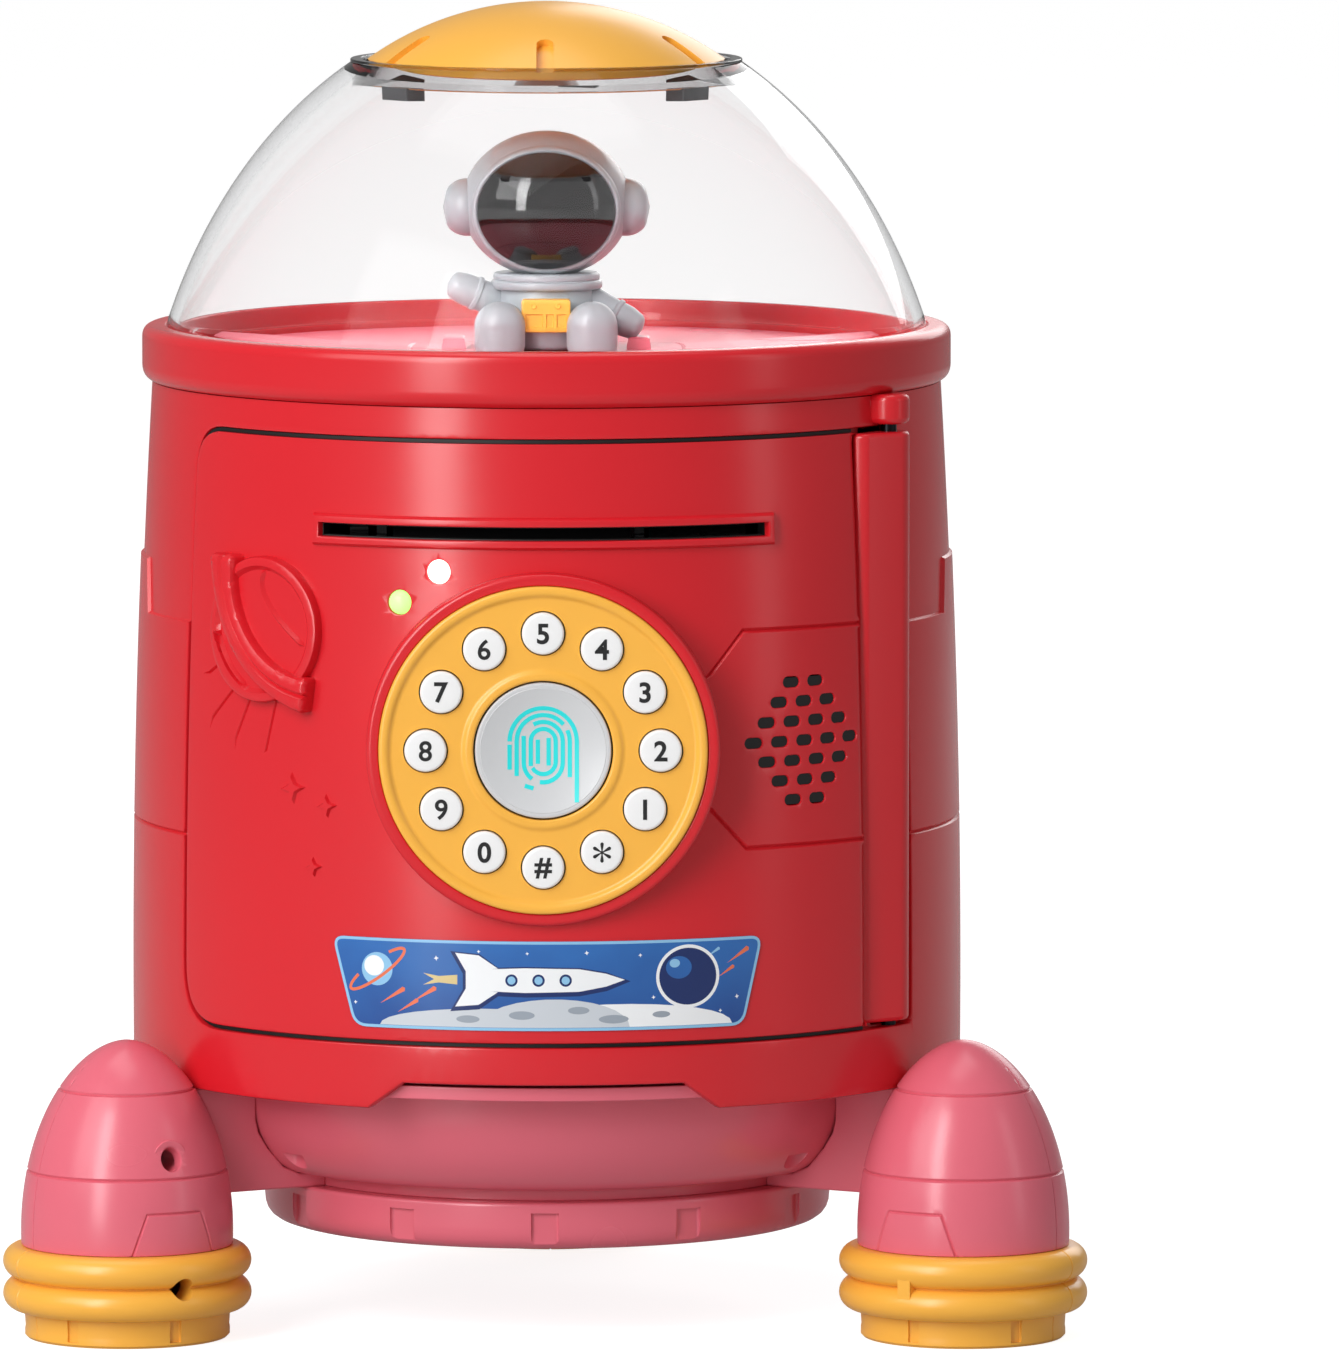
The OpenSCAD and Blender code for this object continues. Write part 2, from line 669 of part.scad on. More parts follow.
// Hexagonal field of rounded sound slots
module grille_slots() for (row = [0:6], i = [0:grille_rows[row] - 1])
    translate([(i - (grille_rows[row] - 1) / 2) * 5.8, (3 - row) * 3.65, 0]) stadium(3.8, 2, 20);

module door_panel() color(RED) on_axis() difference() {
    union() {
        difference() {
            union() {
                intersection() {
                    barrel_band(0, wall, door_bottom_z, door_top_z);
                    door_outline(door_left_az, 56.4, 0);
                }
                // raised frame round the banknote slot
                intersection() {
                    barrel_band(-0.9, 0.5, door_bottom_z, door_top_z);
                    sector(-slot_az - 0.9, slot_az + 0.9, BIG / 4, slot_z - 2.75, slot_z + 2.75);
                }
                on_dial() translate([0, 0, -12]) cylinder(r = dial_ring_r, h = 12);
            }
            on_dial() translate([0, 0, -20]) cylinder(r = dial_r, h = 40);
            on_skin(grille_az, dial_z, barrel_r) grille_slots();
        }
        at_hinge() translate([0, 0, hinge_lug_bottom[1] + 0.4]) cylinder(r = hinge_r, h = 109.6);
    }
    sector(-slot_az, slot_az, BIG / 4, slot_z - slot_h / 2, slot_z + slot_h / 2);
    at_hinge() cylinder(r = hinge_pin_r + running_gap, h = BIG);
    for (led = [led_white, led_green]) on_skin(led[0], led[1], barrel_r)
        cylinder(r = led_r, h = 20, center = true);
}

module led_lenses() color(WHITE) on_axis()
    for (led = [led_white, led_green]) on_skin(led[0], led[1], barrel_at(led[1]) - wall) {
        cylinder(r = led_r, h = wall);
        translate([0, 0, wall - 1.4]) intersection() {
            sphere(r = led_r, $fn = 32);
            cylinder(r = led_r, h = 5);
        }
    }

// Rollers, gears and motor behind the slot
nip = 0.4;
roller_drop = roller_r + nip / 2;
gear_teeth = 13;    // odd, so that a gap faces the other roller's tooth
roller_x = [-28, 16];
gear_x = -36;

module at_roller(up) translate([0, -roller_y, slot_z + up * roller_drop])
    rotate([0, 90, 0]) children();

module bolt_frame() at_az(-46) translate([0, -65, dial_z]) children();

module door_liner() color(DARK) on_axis() {
    difference() {
        intersection() {
            rotate_extrude() polygon(concat(
                [[liner_r, liner_z[0]]], outline(wall, liner_z[0], liner_z[1]), [[liner_r, liner_z[1]]]));
            sector(liner_az[0], liner_az[1], BIG / 4, liner_z[0], liner_z[1]);
        }
        intersection() {
            tube(BIG / 4, liner_r + liner_t, liner_z[0] + liner_t, liner_z[1] - liner_t);
            sector(liner_az[0] + liner_t, liner_az[1] - liner_t, BIG / 4, 0, BIG);
        }
        // way through for the banknote
        translate([-37, -60, slot_z - 3]) cube([74, 40, 6]);
        bolt_frame() cube([60, 5, 9], center = true);
    }
    // bearing plates of the rollers
    difference() {
        for (x = [-31, 16.8]) translate([x, -roller_y - 6.5, slot_z - 11.5])
            cube([1.8, 6.5 + roller_y - 46, 20]);
        cylinder(r = liner_r + 0.5, h = BIG);
        for (up = [-1, 1]) at_roller(up) translate([0, 0, -50])
            cylinder(r = hinge_pin_r + running_gap, h = 100);
        translate([-37, -80, slot_z - slot_h / 2]) cube([74, 80 - roller_y - 3, slot_h]);
    }
}

module roller(up) at_roller(up) {
    translate([0, 0, roller_x[0]]) cylinder(r = roller_r, h = roller_x[1] - roller_x[0]);
    translate([0, 0, gear_x]) cylinder(r = hinge_pin_r, h = roller_x[1] - gear_x + 5.5 - 3 * up);
    translate([0, 0, gear_x])
        gear(gear_teeth, 2 * roller_drop / gear_teeth, 3.4, 1);
}

module feed_roller_lower() color(DARK) on_axis() roller(-1);
module feed_roller_upper() color(DARK) on_axis() roller(1);

module feed_motor() color(STEEL) on_axis() at_roller(-1) difference() {
    translate([0, 0, 19.4]) cylinder(r = 4.5, h = 18);
    translate([0, 0, 19]) cylinder(r = hinge_pin_r + running_gap, h = 8);
}

dial_t = 2.2;

module each_key() for (i = [0:11]) rotate(90 - i * 30) translate([key_circle_r, 0, 0]) children();

module dial_plate() color(YELLOW) on_axis() on_dial() difference() {
    union() {
        translate([0, 0, -dial_t]) cylinder(r = dial_r, h = dial_t);
        tube(dial_r, dial_r - 1.6, -0.1, 0.8);
        tube(finger_r + 1.9, finger_r + 0.3, -0.1, 0.5);
    }
    translate([0, 0, -10]) cylinder(r = finger_r + 0.3, h = 20);
    each_key() translate([0, 0, -10]) cylinder(r = key_r + 0.25, h = 20);
}

// A key's place on the dial, counted clockwise from the top
module key(place) color(WHITE) on_axis() on_dial() rotate(90 - place * 30)
    translate([key_circle_r, 0, 0]) {
        translate([0, 0, -5.2]) cylinder(r = key_r, h = 5.2 + key_proud);
        translate([0, 0, -3.8]) cylinder(r = key_r + 0.7, h = 1.2);
    }

module fingerprint_button() color(GREY) on_axis() on_dial() difference() {
    union() {
        translate([0, 0, -5.2]) cylinder(r = finger_r, h = 5.4);
        translate([0, 0, -3.8]) cylinder(r = finger_r + 1, h = 1.2);
    }
    translate([0, 0, 38.6]) sphere(r = 40);
}

module keypad_board() color([0.2, 0.5, 0.3]) on_axis() on_dial()
    translate([0, 0, -9.4]) cylinder(r = dial_r, h = 1.6);

module speaker() color(DARK) on_axis() on_skin(grille_az, dial_z, 63) {
    cylinder(r = 7, h = 4);
    translate([0, 0, 3]) cylinder(r = 10.6, h = 4.5);
}

module label() color([0.15, 0.35, 0.7]) on_axis() difference() {
    intersection() {
        barrel_band(-0.35, 0, door_bottom_z, door_top_z);
        sector(-30.4, 30.4, BIG / 4, 61.8, 78.8);
    }
    // slanting ends
    for (s = [-1, 1]) at_az(s * 30.4) translate([0, 0, 78.8]) rotate([0, s * 17.5, 0])
        translate([s > 0 ? 0 : -20, -BIG / 4, -30]) cube([20, BIG / 4, 40]);
}

// A ring planet: a low round relief crossed by a thick curved bar that the fingers pull
planet_at = [-42, 134.2];
bar_arc = [15.5, 13.1, 25.1];   // centre of the bar's arc from the planet's middle, and its radius
bar_w = 6;
bar_h = 3.4;

module planet_handle() color(RED) on_axis() {
    intersection() {
        barrel_band(-1.4, 0, door_bottom_z, door_top_z);
        on_skin(planet_at[0], planet_at[1], barrel_r - 10) cylinder(r = 13.6, h = 20);
    }
    intersection() {
        barrel_band(-bar_h, 0, door_bottom_z, door_top_z);
        on_skin(planet_at[0], planet_at[1], barrel_r - 10)
            translate([bar_arc[0], bar_arc[1], 0]) rotate(179) rotate_extrude(angle = 83)
                translate([bar_arc[2] - bar_w / 2, 0]) square([bar_w, 20]);
    }
}

module lock_solenoid() color(STEEL) on_axis() bolt_frame() difference() {
    translate([2.6, -6, -9]) cube([16, 12, 18]);
    translate([0, 0, 0]) rotate([0, 90, 0]) cylinder(r = 2 + running_gap, h = 12);
}

module latch_bolt() color(STEEL) on_axis() bolt_frame() {
    translate([-13, -2, -4]) cube([15, 4, 8]);
    rotate([0, 90, 0]) cylinder(r = 2, h = 9);
}

barrel_shell();
rim_ring();
deck_frame();
dome();
dome_collar();
lower_bowl();
nozzle_base();
fins();
booster_half(LEFT_AZ, 1);  // left_booster_cover
booster_half(LEFT_AZ, -1);  // left_booster_shell
booster_foot(LEFT_AZ);  // left_foot
booster_half(RIGHT_AZ, 1);  // right_booster_cover
booster_half(RIGHT_AZ, -1);  // right_booster_shell
booster_foot(RIGHT_AZ);  // right_foot
booster_half(REAR_AZ, 1);  // rear_booster_cover
booster_half(REAR_AZ, -1);  // rear_booster_shell
booster_foot(REAR_AZ);  // rear_foot
booster_screws();
base_screws();
battery_box();
batteries();
battery_contacts();
battery_door();
coin_chute();
hinge_pin();
turntable_motor();
light_board();
door_panel();
door_liner();
dial_plate();
label();
planet_handle();
led_lenses();
speaker();
keypad_board();
lock_solenoid();
feed_motor();
key(7);  // key_0
key(4);  // key_1
key(3);  // key_2
key(2);  // key_3
key(1);  // key_4
key(0);  // key_5
key(11);  // key_6
key(10);  // key_7
key(9);  // key_8
key(8);  // key_9
key(5);  // key_star
key(6);  // key_hash
fingerprint_button();
latch_bolt();
feed_roller_lower();
feed_roller_upper();
turntable();
astronaut();
visor();
chest_panel();
motor_pinion();
cap();
power_switch();
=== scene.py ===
"""Toy safe coin bank: a rocket-shaped barrel safe on three boosters, with a keypad door, a fed
banknote slot and a clear dome over a turning astronaut. Lengths are in millimetres until a mesh
is made; azimuths are degrees round the barrel's axis, from the front (-Y) towards +X."""
import math
import bmesh
import bpy
import numpy as np
from mathutils import Matrix, Vector, geometry, kdtree


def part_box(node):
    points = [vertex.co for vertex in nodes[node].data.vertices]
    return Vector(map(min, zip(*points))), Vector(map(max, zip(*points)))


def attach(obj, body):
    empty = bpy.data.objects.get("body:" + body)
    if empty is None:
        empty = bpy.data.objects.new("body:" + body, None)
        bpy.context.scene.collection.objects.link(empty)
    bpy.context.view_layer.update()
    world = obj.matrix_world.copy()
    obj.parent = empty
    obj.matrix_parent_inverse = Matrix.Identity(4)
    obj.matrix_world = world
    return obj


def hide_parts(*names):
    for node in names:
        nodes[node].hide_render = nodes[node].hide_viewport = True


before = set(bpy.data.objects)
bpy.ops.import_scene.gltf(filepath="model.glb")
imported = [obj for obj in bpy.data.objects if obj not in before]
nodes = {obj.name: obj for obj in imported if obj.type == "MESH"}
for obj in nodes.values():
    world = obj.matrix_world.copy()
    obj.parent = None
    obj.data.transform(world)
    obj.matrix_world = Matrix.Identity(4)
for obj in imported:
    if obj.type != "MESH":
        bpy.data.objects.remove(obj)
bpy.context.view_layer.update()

# ---------- room: the object stands on seamless white paper under five soft boxes, and is seen
# through a long lens from a little above its middle ----------
scene = bpy.context.scene
scene.view_settings.view_transform = "Standard"
MM = 0.001


def centre_of(node):
    low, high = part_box(node)
    return (low + high) / 2 / MM


AXIS_Y = centre_of("rim_ring").y
LOOK_AT = Vector((23.3, AXIS_Y, 119.4))
CAMERA_DISTANCE = 2714
CAMERA_PITCH = math.radians(5.57)

camera = bpy.data.objects.new("camera", bpy.data.cameras.new("camera"))
scene.collection.objects.link(camera)
camera.location = (LOOK_AT + CAMERA_DISTANCE * Vector(
    (0, -math.cos(CAMERA_PITCH), math.sin(CAMERA_PITCH)))) * MM
camera.rotation_euler = (math.pi / 2 - CAMERA_PITCH, 0, 0)
camera.data.lens = 379.3
camera.data.clip_end = 50
scene.camera = camera


def linear(hex_colour):
    channels = [int(hex_colour[i:i + 2], 16) / 255 for i in (1, 3, 5)]
    return tuple(c / 12.92 if c <= 0.04045 else ((c + 0.055) / 1.055) ** 2.4 for c in channels) + (1,)


def add(tree, kind, settings=None, **sockets):
    """Adds a shader node. A socket's value is a number, a colour or another node's output."""
    made = tree.nodes.new(kind)
    for key, value in (settings or {}).items():
        setattr(made, key, value)
    for key, value in sockets.items():
        socket = made.inputs[int(key[1:])] if key[0] == "_" else made.inputs[key.replace("_", " ")]
        if isinstance(value, bpy.types.NodeSocket):
            tree.links.new(value, socket)
        else:
            socket.default_value = value
    return made


def new_material(name):
    """Returns an empty material, its node tree and its output node."""
    material = bpy.data.materials.new(name)
    material.use_nodes = True
    material.node_tree.nodes.clear()
    return material, material.node_tree, add(material.node_tree, "ShaderNodeOutputMaterial")


def direct_view(tree, other_rays, direct_rays):
    """A strength that is higher for the view itself, also through clear plastic, than for the
    light that falls on the object."""
    path = add(tree, "ShaderNodeLightPath")
    direct = add(tree, "ShaderNodeMath", {"operation": "MAXIMUM"}, _0=path.outputs["Is Camera Ray"],
                 _1=path.outputs["Is Transmission Ray"])
    strength = add(tree, "ShaderNodeMapRange", Value=direct.outputs[0], To_Min=other_rays,
                   To_Max=direct_rays)
    return strength.outputs[0]


def studio_paper():
    """Seamless white paper, lit from behind a little so that it stays white in the view."""
    material, tree, out = new_material("studio_paper")
    shader = add(tree, "ShaderNodeBsdfPrincipled", Base_Color=linear("#A8A8A8"), Roughness=0.9,
                 Emission_Color=linear("#FFFFFF"), Emission_Strength=direct_view(tree, 0.1, 0.86))
    tree.links.new(shader.outputs[0], out.inputs[0])
    return material


floor_mesh = bpy.data.meshes.new("floor")
FLOOR = 9
floor_mesh.from_pydata([(-FLOOR, -FLOOR, 0), (FLOOR, -FLOOR, 0), (FLOOR, FLOOR, 0),
                        (-FLOOR, FLOOR, 0)], [], [(0, 1, 2, 3)])
floor = bpy.data.objects.new("floor", floor_mesh)
scene.collection.objects.link(floor)
floor.data.materials.append(studio_paper())

BARREL_MIDDLE_Z = 120


def lamp(name, place, size, power):
    """A white soft box that faces the middle of the barrel."""
    light = bpy.data.lights.new(name, "AREA")
    light.shape = "RECTANGLE"
    light.size, light.size_y = size
    light.energy = power
    made = bpy.data.objects.new(name, light)
    scene.collection.objects.link(made)
    made.location = place
    aim = Vector((0, AXIS_Y, BARREL_MIDDLE_Z)) * MM - made.location
    made.rotation_euler = aim.to_track_quat("-Z", "Y").to_euler()


lamp("key_strip", (-0.85, -1.5, 0.75), (0.4, 1.7), 17)
lamp("broad_softbox", (-1.3, -1.3, 1.2), (1.5, 1.5), 19)
lamp("fill_softbox", (1.8, -0.9, 0.7), (0.3, 1.6), 2.4)
lamp("top_softbox", (-0.1, 0.1, 1.9), (1.2, 1.2), 8)
lamp("back_strip", (0.6, 1.6, 0.8), (1.2, 0.8), 7)

scene.world = bpy.data.worlds.new("studio_air")
scene.world.use_nodes = True
air = scene.world.node_tree
white = air.nodes["Background"]
white.inputs["Color"].default_value = linear("#FFFFFF")
air.links.new(direct_view(air, 0.3, 1.0), white.inputs["Strength"])


# ---------- base bowl: a round pink ABS moulding under the barrel, whose flat top is the safe's
# floor; it narrows to a spigot that the nozzle cup is screwed on ----------
def moulded(name, colour, roughness, wave=0.25, coat=0.0):
    """Injection-moulded ABS. The skin is glossy with a faint unevenness from the mould, which
    breaks up the reflections, and its gloss varies a little where hands have touched it."""
    material, tree, out = new_material(name)
    place = add(tree, "ShaderNodeTexCoord")
    # flow marks about 25 mm long, and a much finer orange peel about 1.2 mm across; the noise
    # repeats per metre, so its scale is 1000 divided by the size in millimetres
    flow = add(tree, "ShaderNodeTexNoise", Vector=place.outputs["Object"], Scale=40.0, Detail=0.0)
    peel = add(tree, "ShaderNodeTexNoise", Vector=place.outputs["Object"], Scale=850.0, Detail=1.0)
    gloss = add(tree, "ShaderNodeMapRange", Value=flow.outputs["Fac"],
                To_Min=roughness * 0.94, To_Max=roughness * 1.08)
    tone = add(tree, "ShaderNodeHueSaturation", Color=linear(colour))
    shade = add(tree, "ShaderNodeMapRange", Value=flow.outputs["Fac"], To_Min=0.985, To_Max=1.015)
    tree.links.new(shade.outputs[0], tone.inputs["Value"])
    bump = add(tree, "ShaderNodeBump", Height=peel.outputs["Fac"], Strength=wave, Distance=0.00001)
    shader = add(tree, "ShaderNodeBsdfPrincipled", Base_Color=tone.outputs[0], IOR=1.53,
                 Roughness=gloss.outputs[0], Normal=bump.outputs[0], Coat_Weight=coat)
    tree.links.new(shader.outputs[0], out.inputs[0])
    return material


PINK_ABS = moulded("glossy_pink_abs", "#E0697A", 0.26)
SHARP_ANGLE = 42
WELD_GAP = 0.000002


def link(name, mesh, material):
    """Puts a mesh in the scene as a smooth piece whose creases stay crisp."""
    made = bpy.data.objects.new(name, mesh)
    scene.collection.objects.link(made)
    if material is not None and not mesh.materials:
        mesh.materials.append(material)
    mesh.shade_smooth()
    mesh.set_sharp_from_angle(angle=math.radians(SHARP_ANGLE))
    even = made.modifiers.new("even_normals", "WEIGHTED_NORMAL")
    even.keep_sharp = True
    even.weight = 80
    return made


def softened(points, radius, steps=4):
    """Rounds every corner of a closed outline. A point may carry its own radius as a third value."""
    result = []
    count = len(points)
    for i, point in enumerate(points):
        here = Vector(point[:2])
        before, after = Vector(points[i - 1][:2]), Vector(points[(i + 1) % count][:2])
        size = point[2] if len(point) > 2 else radius
        size = min(size, (before - here).length * 0.49, (after - here).length * 0.49)
        if size < 0.01:
            result.append(tuple(here))
            continue
        start = here + (before - here).normalized() * size
        end = here + (after - here).normalized() * size
        for k in range(steps + 1):
            t = k / steps
            result.append(tuple(start * (1 - t) ** 2 + here * 2 * t * (1 - t) + end * t ** 2))
    return result


def tidy(mesh, sliver=0.0000005, outwards=True, loose=False):
    """Welds a mesh and drops its collapsed faces, and its loose points if asked to. It turns all
    faces outwards, unless the mesh already has them so."""
    work = bmesh.new()
    work.from_mesh(mesh)
    bmesh.ops.remove_doubles(work, verts=work.verts, dist=WELD_GAP)
    bmesh.ops.dissolve_degenerate(work, edges=work.edges, dist=sliver)
    if loose:
        bmesh.ops.delete(work, geom=[v for v in work.verts if not v.link_faces], context="VERTS")
    if outwards:
        bmesh.ops.recalc_face_normals(work, faces=work.faces)
    work.to_mesh(mesh)
    work.free()


def on_barrel_axis(point):
    return point + Vector((0, AXIS_Y, 0))


def turned(name, outline, material, segments=160, seams=(), seam_w=0.3, seam_d=0.25,
           put=on_barrel_axis):
    """A solid of revolution about the barrel's axis from a closed outline of (radius, height),
    listed clockwise on a drawing with the radius to the right. Seams are fine grooves that run
    over it in a radial plane, at the azimuths given; put moves the finished points."""
    turns = [360 * i / segments for i in range(segments)]
    for seam in seams:
        turns = [t for t in turns if abs((t - seam + 180) % 360 - 180) > 0.55 * 360 / segments]
    angles = [(t, 0) for t in turns]
    reach = max(r for r, _ in outline)
    for seam in seams:
        wide = math.degrees(seam_w / 2 / reach)
        angles += [(seam % 360 - wide, 0), (seam % 360, seam_d), (seam % 360 + wide, 0)]
    angles.sort()
    count = len(outline)
    vertices = []
    for turn, depth in angles:
        a = math.radians(turn)
        for i, (r, z) in enumerate(outline):
            if depth:
                tangent = Vector(outline[(i + 1) % count]) - Vector(outline[i - 1])
                out = Vector((-tangent.y, tangent.x)).normalized()
                r, z = max(r - out.x * depth, 0), z - out.y * depth
            vertices.append(Vector((r * math.sin(a), -r * math.cos(a), z)))
    mesh = bpy.data.meshes.new(name)
    faces = []
    for j in range(len(angles)):
        k = (j + 1) % len(angles)
        for i in range(count):
            n = (i + 1) % count
            faces.append((j * count + i, j * count + n, k * count + n, k * count + i))
    mesh.from_pydata([put(v) * MM for v in vertices], [], faces)
    tidy(mesh)
    return link(name, mesh, material)


def prism(outline, length):
    """An upright prism along +Z from a closed outline, as vertices and faces in millimetres."""
    count = len(outline)
    vertices = [Vector((x, y, z)) for z in (0, length) for x, y in outline]
    faces = [(i, (i + 1) % count, count + (i + 1) % count, count + i) for i in range(count)]
    faces += [tuple(reversed(range(count))), tuple(range(count, 2 * count))]
    return vertices, faces


def ring(cx, cy, radius, count=40):
    """A circle as a counter-clockwise loop."""
    return [(cx + radius * math.cos(2 * math.pi * i / count),
             cy + radius * math.sin(2 * math.pi * i / count)) for i in range(count)]


def round_bar(length, radius, sides=32):
    """A cylinder along +Z from the origin, as vertices and faces in millimetres."""
    return prism(ring(0, 0, radius, sides), length)


def joined(name, shapes):
    """One tidy mesh from closed shapes, each (vertices, faces, matrix) in millimetres."""
    vertices, faces = [], []
    for points, polygons, matrix in shapes:
        start = len(vertices)
        vertices += [(matrix @ p) * MM for p in points]
        faces += [tuple(start + i for i in polygon) for polygon in polygons]
    mesh = bpy.data.meshes.new(name)
    mesh.from_pydata(vertices, [], faces)
    tidy(mesh)
    return mesh


def evaluated(piece):
    """The mesh that a piece's modifiers make of it."""
    return bpy.data.meshes.new_from_object(
        piece.evaluated_get(bpy.context.evaluated_depsgraph_get()))


def carve(piece, shapes):
    """Cuts closed shapes out of a piece, and returns the cut piece under the same name."""
    cutter = bpy.data.objects.new("cutter", joined("cutter", shapes))
    scene.collection.objects.link(cutter)
    piece.modifiers.clear()
    cut = piece.modifiers.new("cut", "BOOLEAN")
    cut.operation, cut.solver, cut.object = "DIFFERENCE", "EXACT", cutter
    cut.use_self = len(shapes) > 1
    name, materials = piece.name, list(piece.data.materials)
    made = evaluated(piece)
    bpy.data.objects.remove(piece)
    bpy.data.objects.remove(cutter)
    tidy(made, outwards=False)
    made.name = name
    if not made.materials:
        made.materials.append(materials[0])
    return link(name, made, None)


def upright(azimuth, radius, height):
    """A matrix that puts +Z up, at an azimuth and radius, with -Y outwards from the barrel."""
    a = math.radians(azimuth)
    place = Matrix.Translation((radius * math.sin(a), AXIS_Y - radius * math.cos(a), height))
    return place @ Matrix.Rotation(a, 4, "Z")


def facing(azimuth, radius, height):
    """A matrix that puts +Z outwards from the barrel, +X along increasing azimuth and +Y up."""
    return upright(azimuth, radius, height) @ Matrix.Rotation(math.pi / 2, 4, "X")


BOWL_OUTLINE = softened([
    (0, 50.5), (76.3, 50.5), (76.3, 48), (65.2, 48, 1), (65.2, 39.4, 6), (62.7, 34, 5), (59.3, 30.2, 3),
    (55.9, 28.7, 1), (50.4, 28.7, 1.2), (50.4, 26), (47.9, 26), (47.9, 30), (56, 32), (62.7, 40),
    (62.7, 46), (0, 46)], 0.3)
bowl = turned("base_bowl", BOWL_OUTLINE, PINK_ABS)
bowl = carve(bowl, [(*round_bar(9.5, 3), upright(az, 62.4, 24)) for az in (-50, 50)])
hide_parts("lower_bowl")
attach(bowl, "safe")

# ---------- nozzle cup: the round pink ABS end of the bowl, moulded with twelve shallow flutes
# and with openings below for the battery bay, the switch and four screws ----------
NOZZLE_R = 53.8
NOZZLE_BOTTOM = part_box("nozzle_base")[0].z / MM
NOZZLE_OUTLINE = softened([
    (0, 19.4), (49.3, 19.4), (51.3, 22), (51.3, 23.8), (47.5, 23.8), (47.5, 26), (NOZZLE_R, 26, 0.8),
    (NOZZLE_R, NOZZLE_BOTTOM, 5), (0, NOZZLE_BOTTOM)], 0.2, steps=6)
nozzle = turned("nozzle_cup", NOZZLE_OUTLINE, PINK_ABS)
BASE_SCREW_AZ = (-30, 30, 150, 210)
BASE_SCREW_R = 42.5
FLUTE = softened([(-2.6, -3), (2.6, -3), (2.6, 0.9), (-2.6, 0.9)], 0.7)
flutes = [(*prism(FLUTE, 8.4), upright(30 * i, NOZZLE_R, NOZZLE_BOTTOM - 1.2)) for i in range(12)]
BAY = [(-27, -23), (27, -23), (27, 23), (-27, 23)]
SWITCH_SLOT = [(-6, 36), (6, 36), (6, 40), (-6, 40)]
bays = [(*prism(hole, 12), Matrix.Translation((0, AXIS_Y, 12))) for hole in (BAY, SWITCH_SLOT)]
screw_ways = [(*round_bar(12, 2.8), upright(az, BASE_SCREW_R, 12)) for az in BASE_SCREW_AZ]
nozzle = carve(nozzle, flutes + bays + screw_ways)
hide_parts("nozzle_base")
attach(nozzle, "safe")


# ---------- battery bay: a black box in the base holds three cells between steel springs; a pink
# cover screwed over it and a slide switch beside it are seen from below ----------
def plated_steel(name, colour):
    """Barrel-plated steel with fine streaks: bright and slightly blue in zinc, or nearly black
    where its colour paints the shade in a narrow gap."""
    material, tree, out = new_material(name)
    place = add(tree, "ShaderNodeTexCoord")
    streak = add(tree, "ShaderNodeTexNoise", Vector=place.outputs["Object"], Scale=600.0, Detail=3.0)
    dull = add(tree, "ShaderNodeMapRange", Value=streak.outputs["Fac"], To_Min=0.2, To_Max=0.42)
    shader = add(tree, "ShaderNodeBsdfPrincipled", Base_Color=linear(colour), Metallic=1.0,
                 Roughness=dull.outputs[0])
    tree.links.new(shader.outputs[0], out.inputs[0])
    return material


def matt_moulded(name, colour, grain=1600.0):
    """Spark-eroded matt plastic: a fine pebble about 0.6 mm across that scatters the light."""
    material, tree, out = new_material(name)
    place = add(tree, "ShaderNodeTexCoord")
    pebble = add(tree, "ShaderNodeTexVoronoi", Vector=place.outputs["Object"], Scale=grain)
    bump = add(tree, "ShaderNodeBump", Height=pebble.outputs["Distance"], Strength=0.35,
               Distance=0.00003)
    shader = add(tree, "ShaderNodeBsdfPrincipled", Base_Color=linear(colour), Roughness=0.55,
                 Normal=bump.outputs[0])
    tree.links.new(shader.outputs[0], out.inputs[0])
    return material


STEEL = plated_steel("zinc_plated_steel", "#C4C8CC")
# matt black for the real black parts, and painted shade on the collar's tabs
BLACK_MATT_AND_PAINTED_SHADE = matt_moulded("matt_black_abs_and_painted_shade", "#202023")
JACKET = moulded("shrink_film_jacket", "#2F4057", 0.3)


def finish_node(name, material):
    """Gives a CAD node its material."""
    mesh = nodes[name].data
    mesh.materials.clear()
    mesh.materials.append(material)


def round_edges(made, width, segments, limit):
    """Rounds every edge of a piece that turns by more than a limit in degrees."""
    made.modifiers.clear()
    edge = made.modifiers.new("edge", "BEVEL")
    edge.width, edge.segments, edge.limit_method = width * MM, segments, "ANGLE"
    edge.angle_limit = math.radians(limit)
    even = made.modifiers.new("even_normals", "WEIGHTED_NORMAL")
    even.keep_sharp = True


def eased(name, piece_name, width):
    """A pink copy of a fixed CAD node with its edges rounded, which stands for the node."""
    mesh = nodes[name].data.copy()
    mesh.materials.clear()
    work = bmesh.new()
    work.from_mesh(mesh)
    bmesh.ops.remove_doubles(work, verts=work.verts, dist=0.000003)
    bmesh.ops.dissolve_limit(work, angle_limit=math.radians(0.5), verts=work.verts, edges=work.edges)
    work.to_mesh(mesh)
    work.free()
    made = link(piece_name, mesh, PINK_ABS)
    round_edges(made, width, 2, 38)
    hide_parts(name)
    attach(made, "safe")


for name in ("booster_screws", "battery_contacts"):
    finish_node(name, STEEL)
for name in ("battery_box", "power_switch"):
    finish_node(name, BLACK_MATT_AND_PAINTED_SHADE)
finish_node("batteries", JACKET)
eased("battery_door", "battery_cover", 0.3)
eased("fins", "booster_fins", 0.8)


# ---------- base screws: four zinc-plated self-tapping screws hold the nozzle cup to the bowl,
# and are driven from below by a cross recess ----------
SCREW_SIZES = {"Face Radius": 2.25, "Head Radius": 2.6, "Head Height": 2.0, "Shank Radius": 1.25,
               "Shank Length": 13.6, "Recess Width": 0.7, "Recess Length": 2.8, "Recess Depth": 1.8}


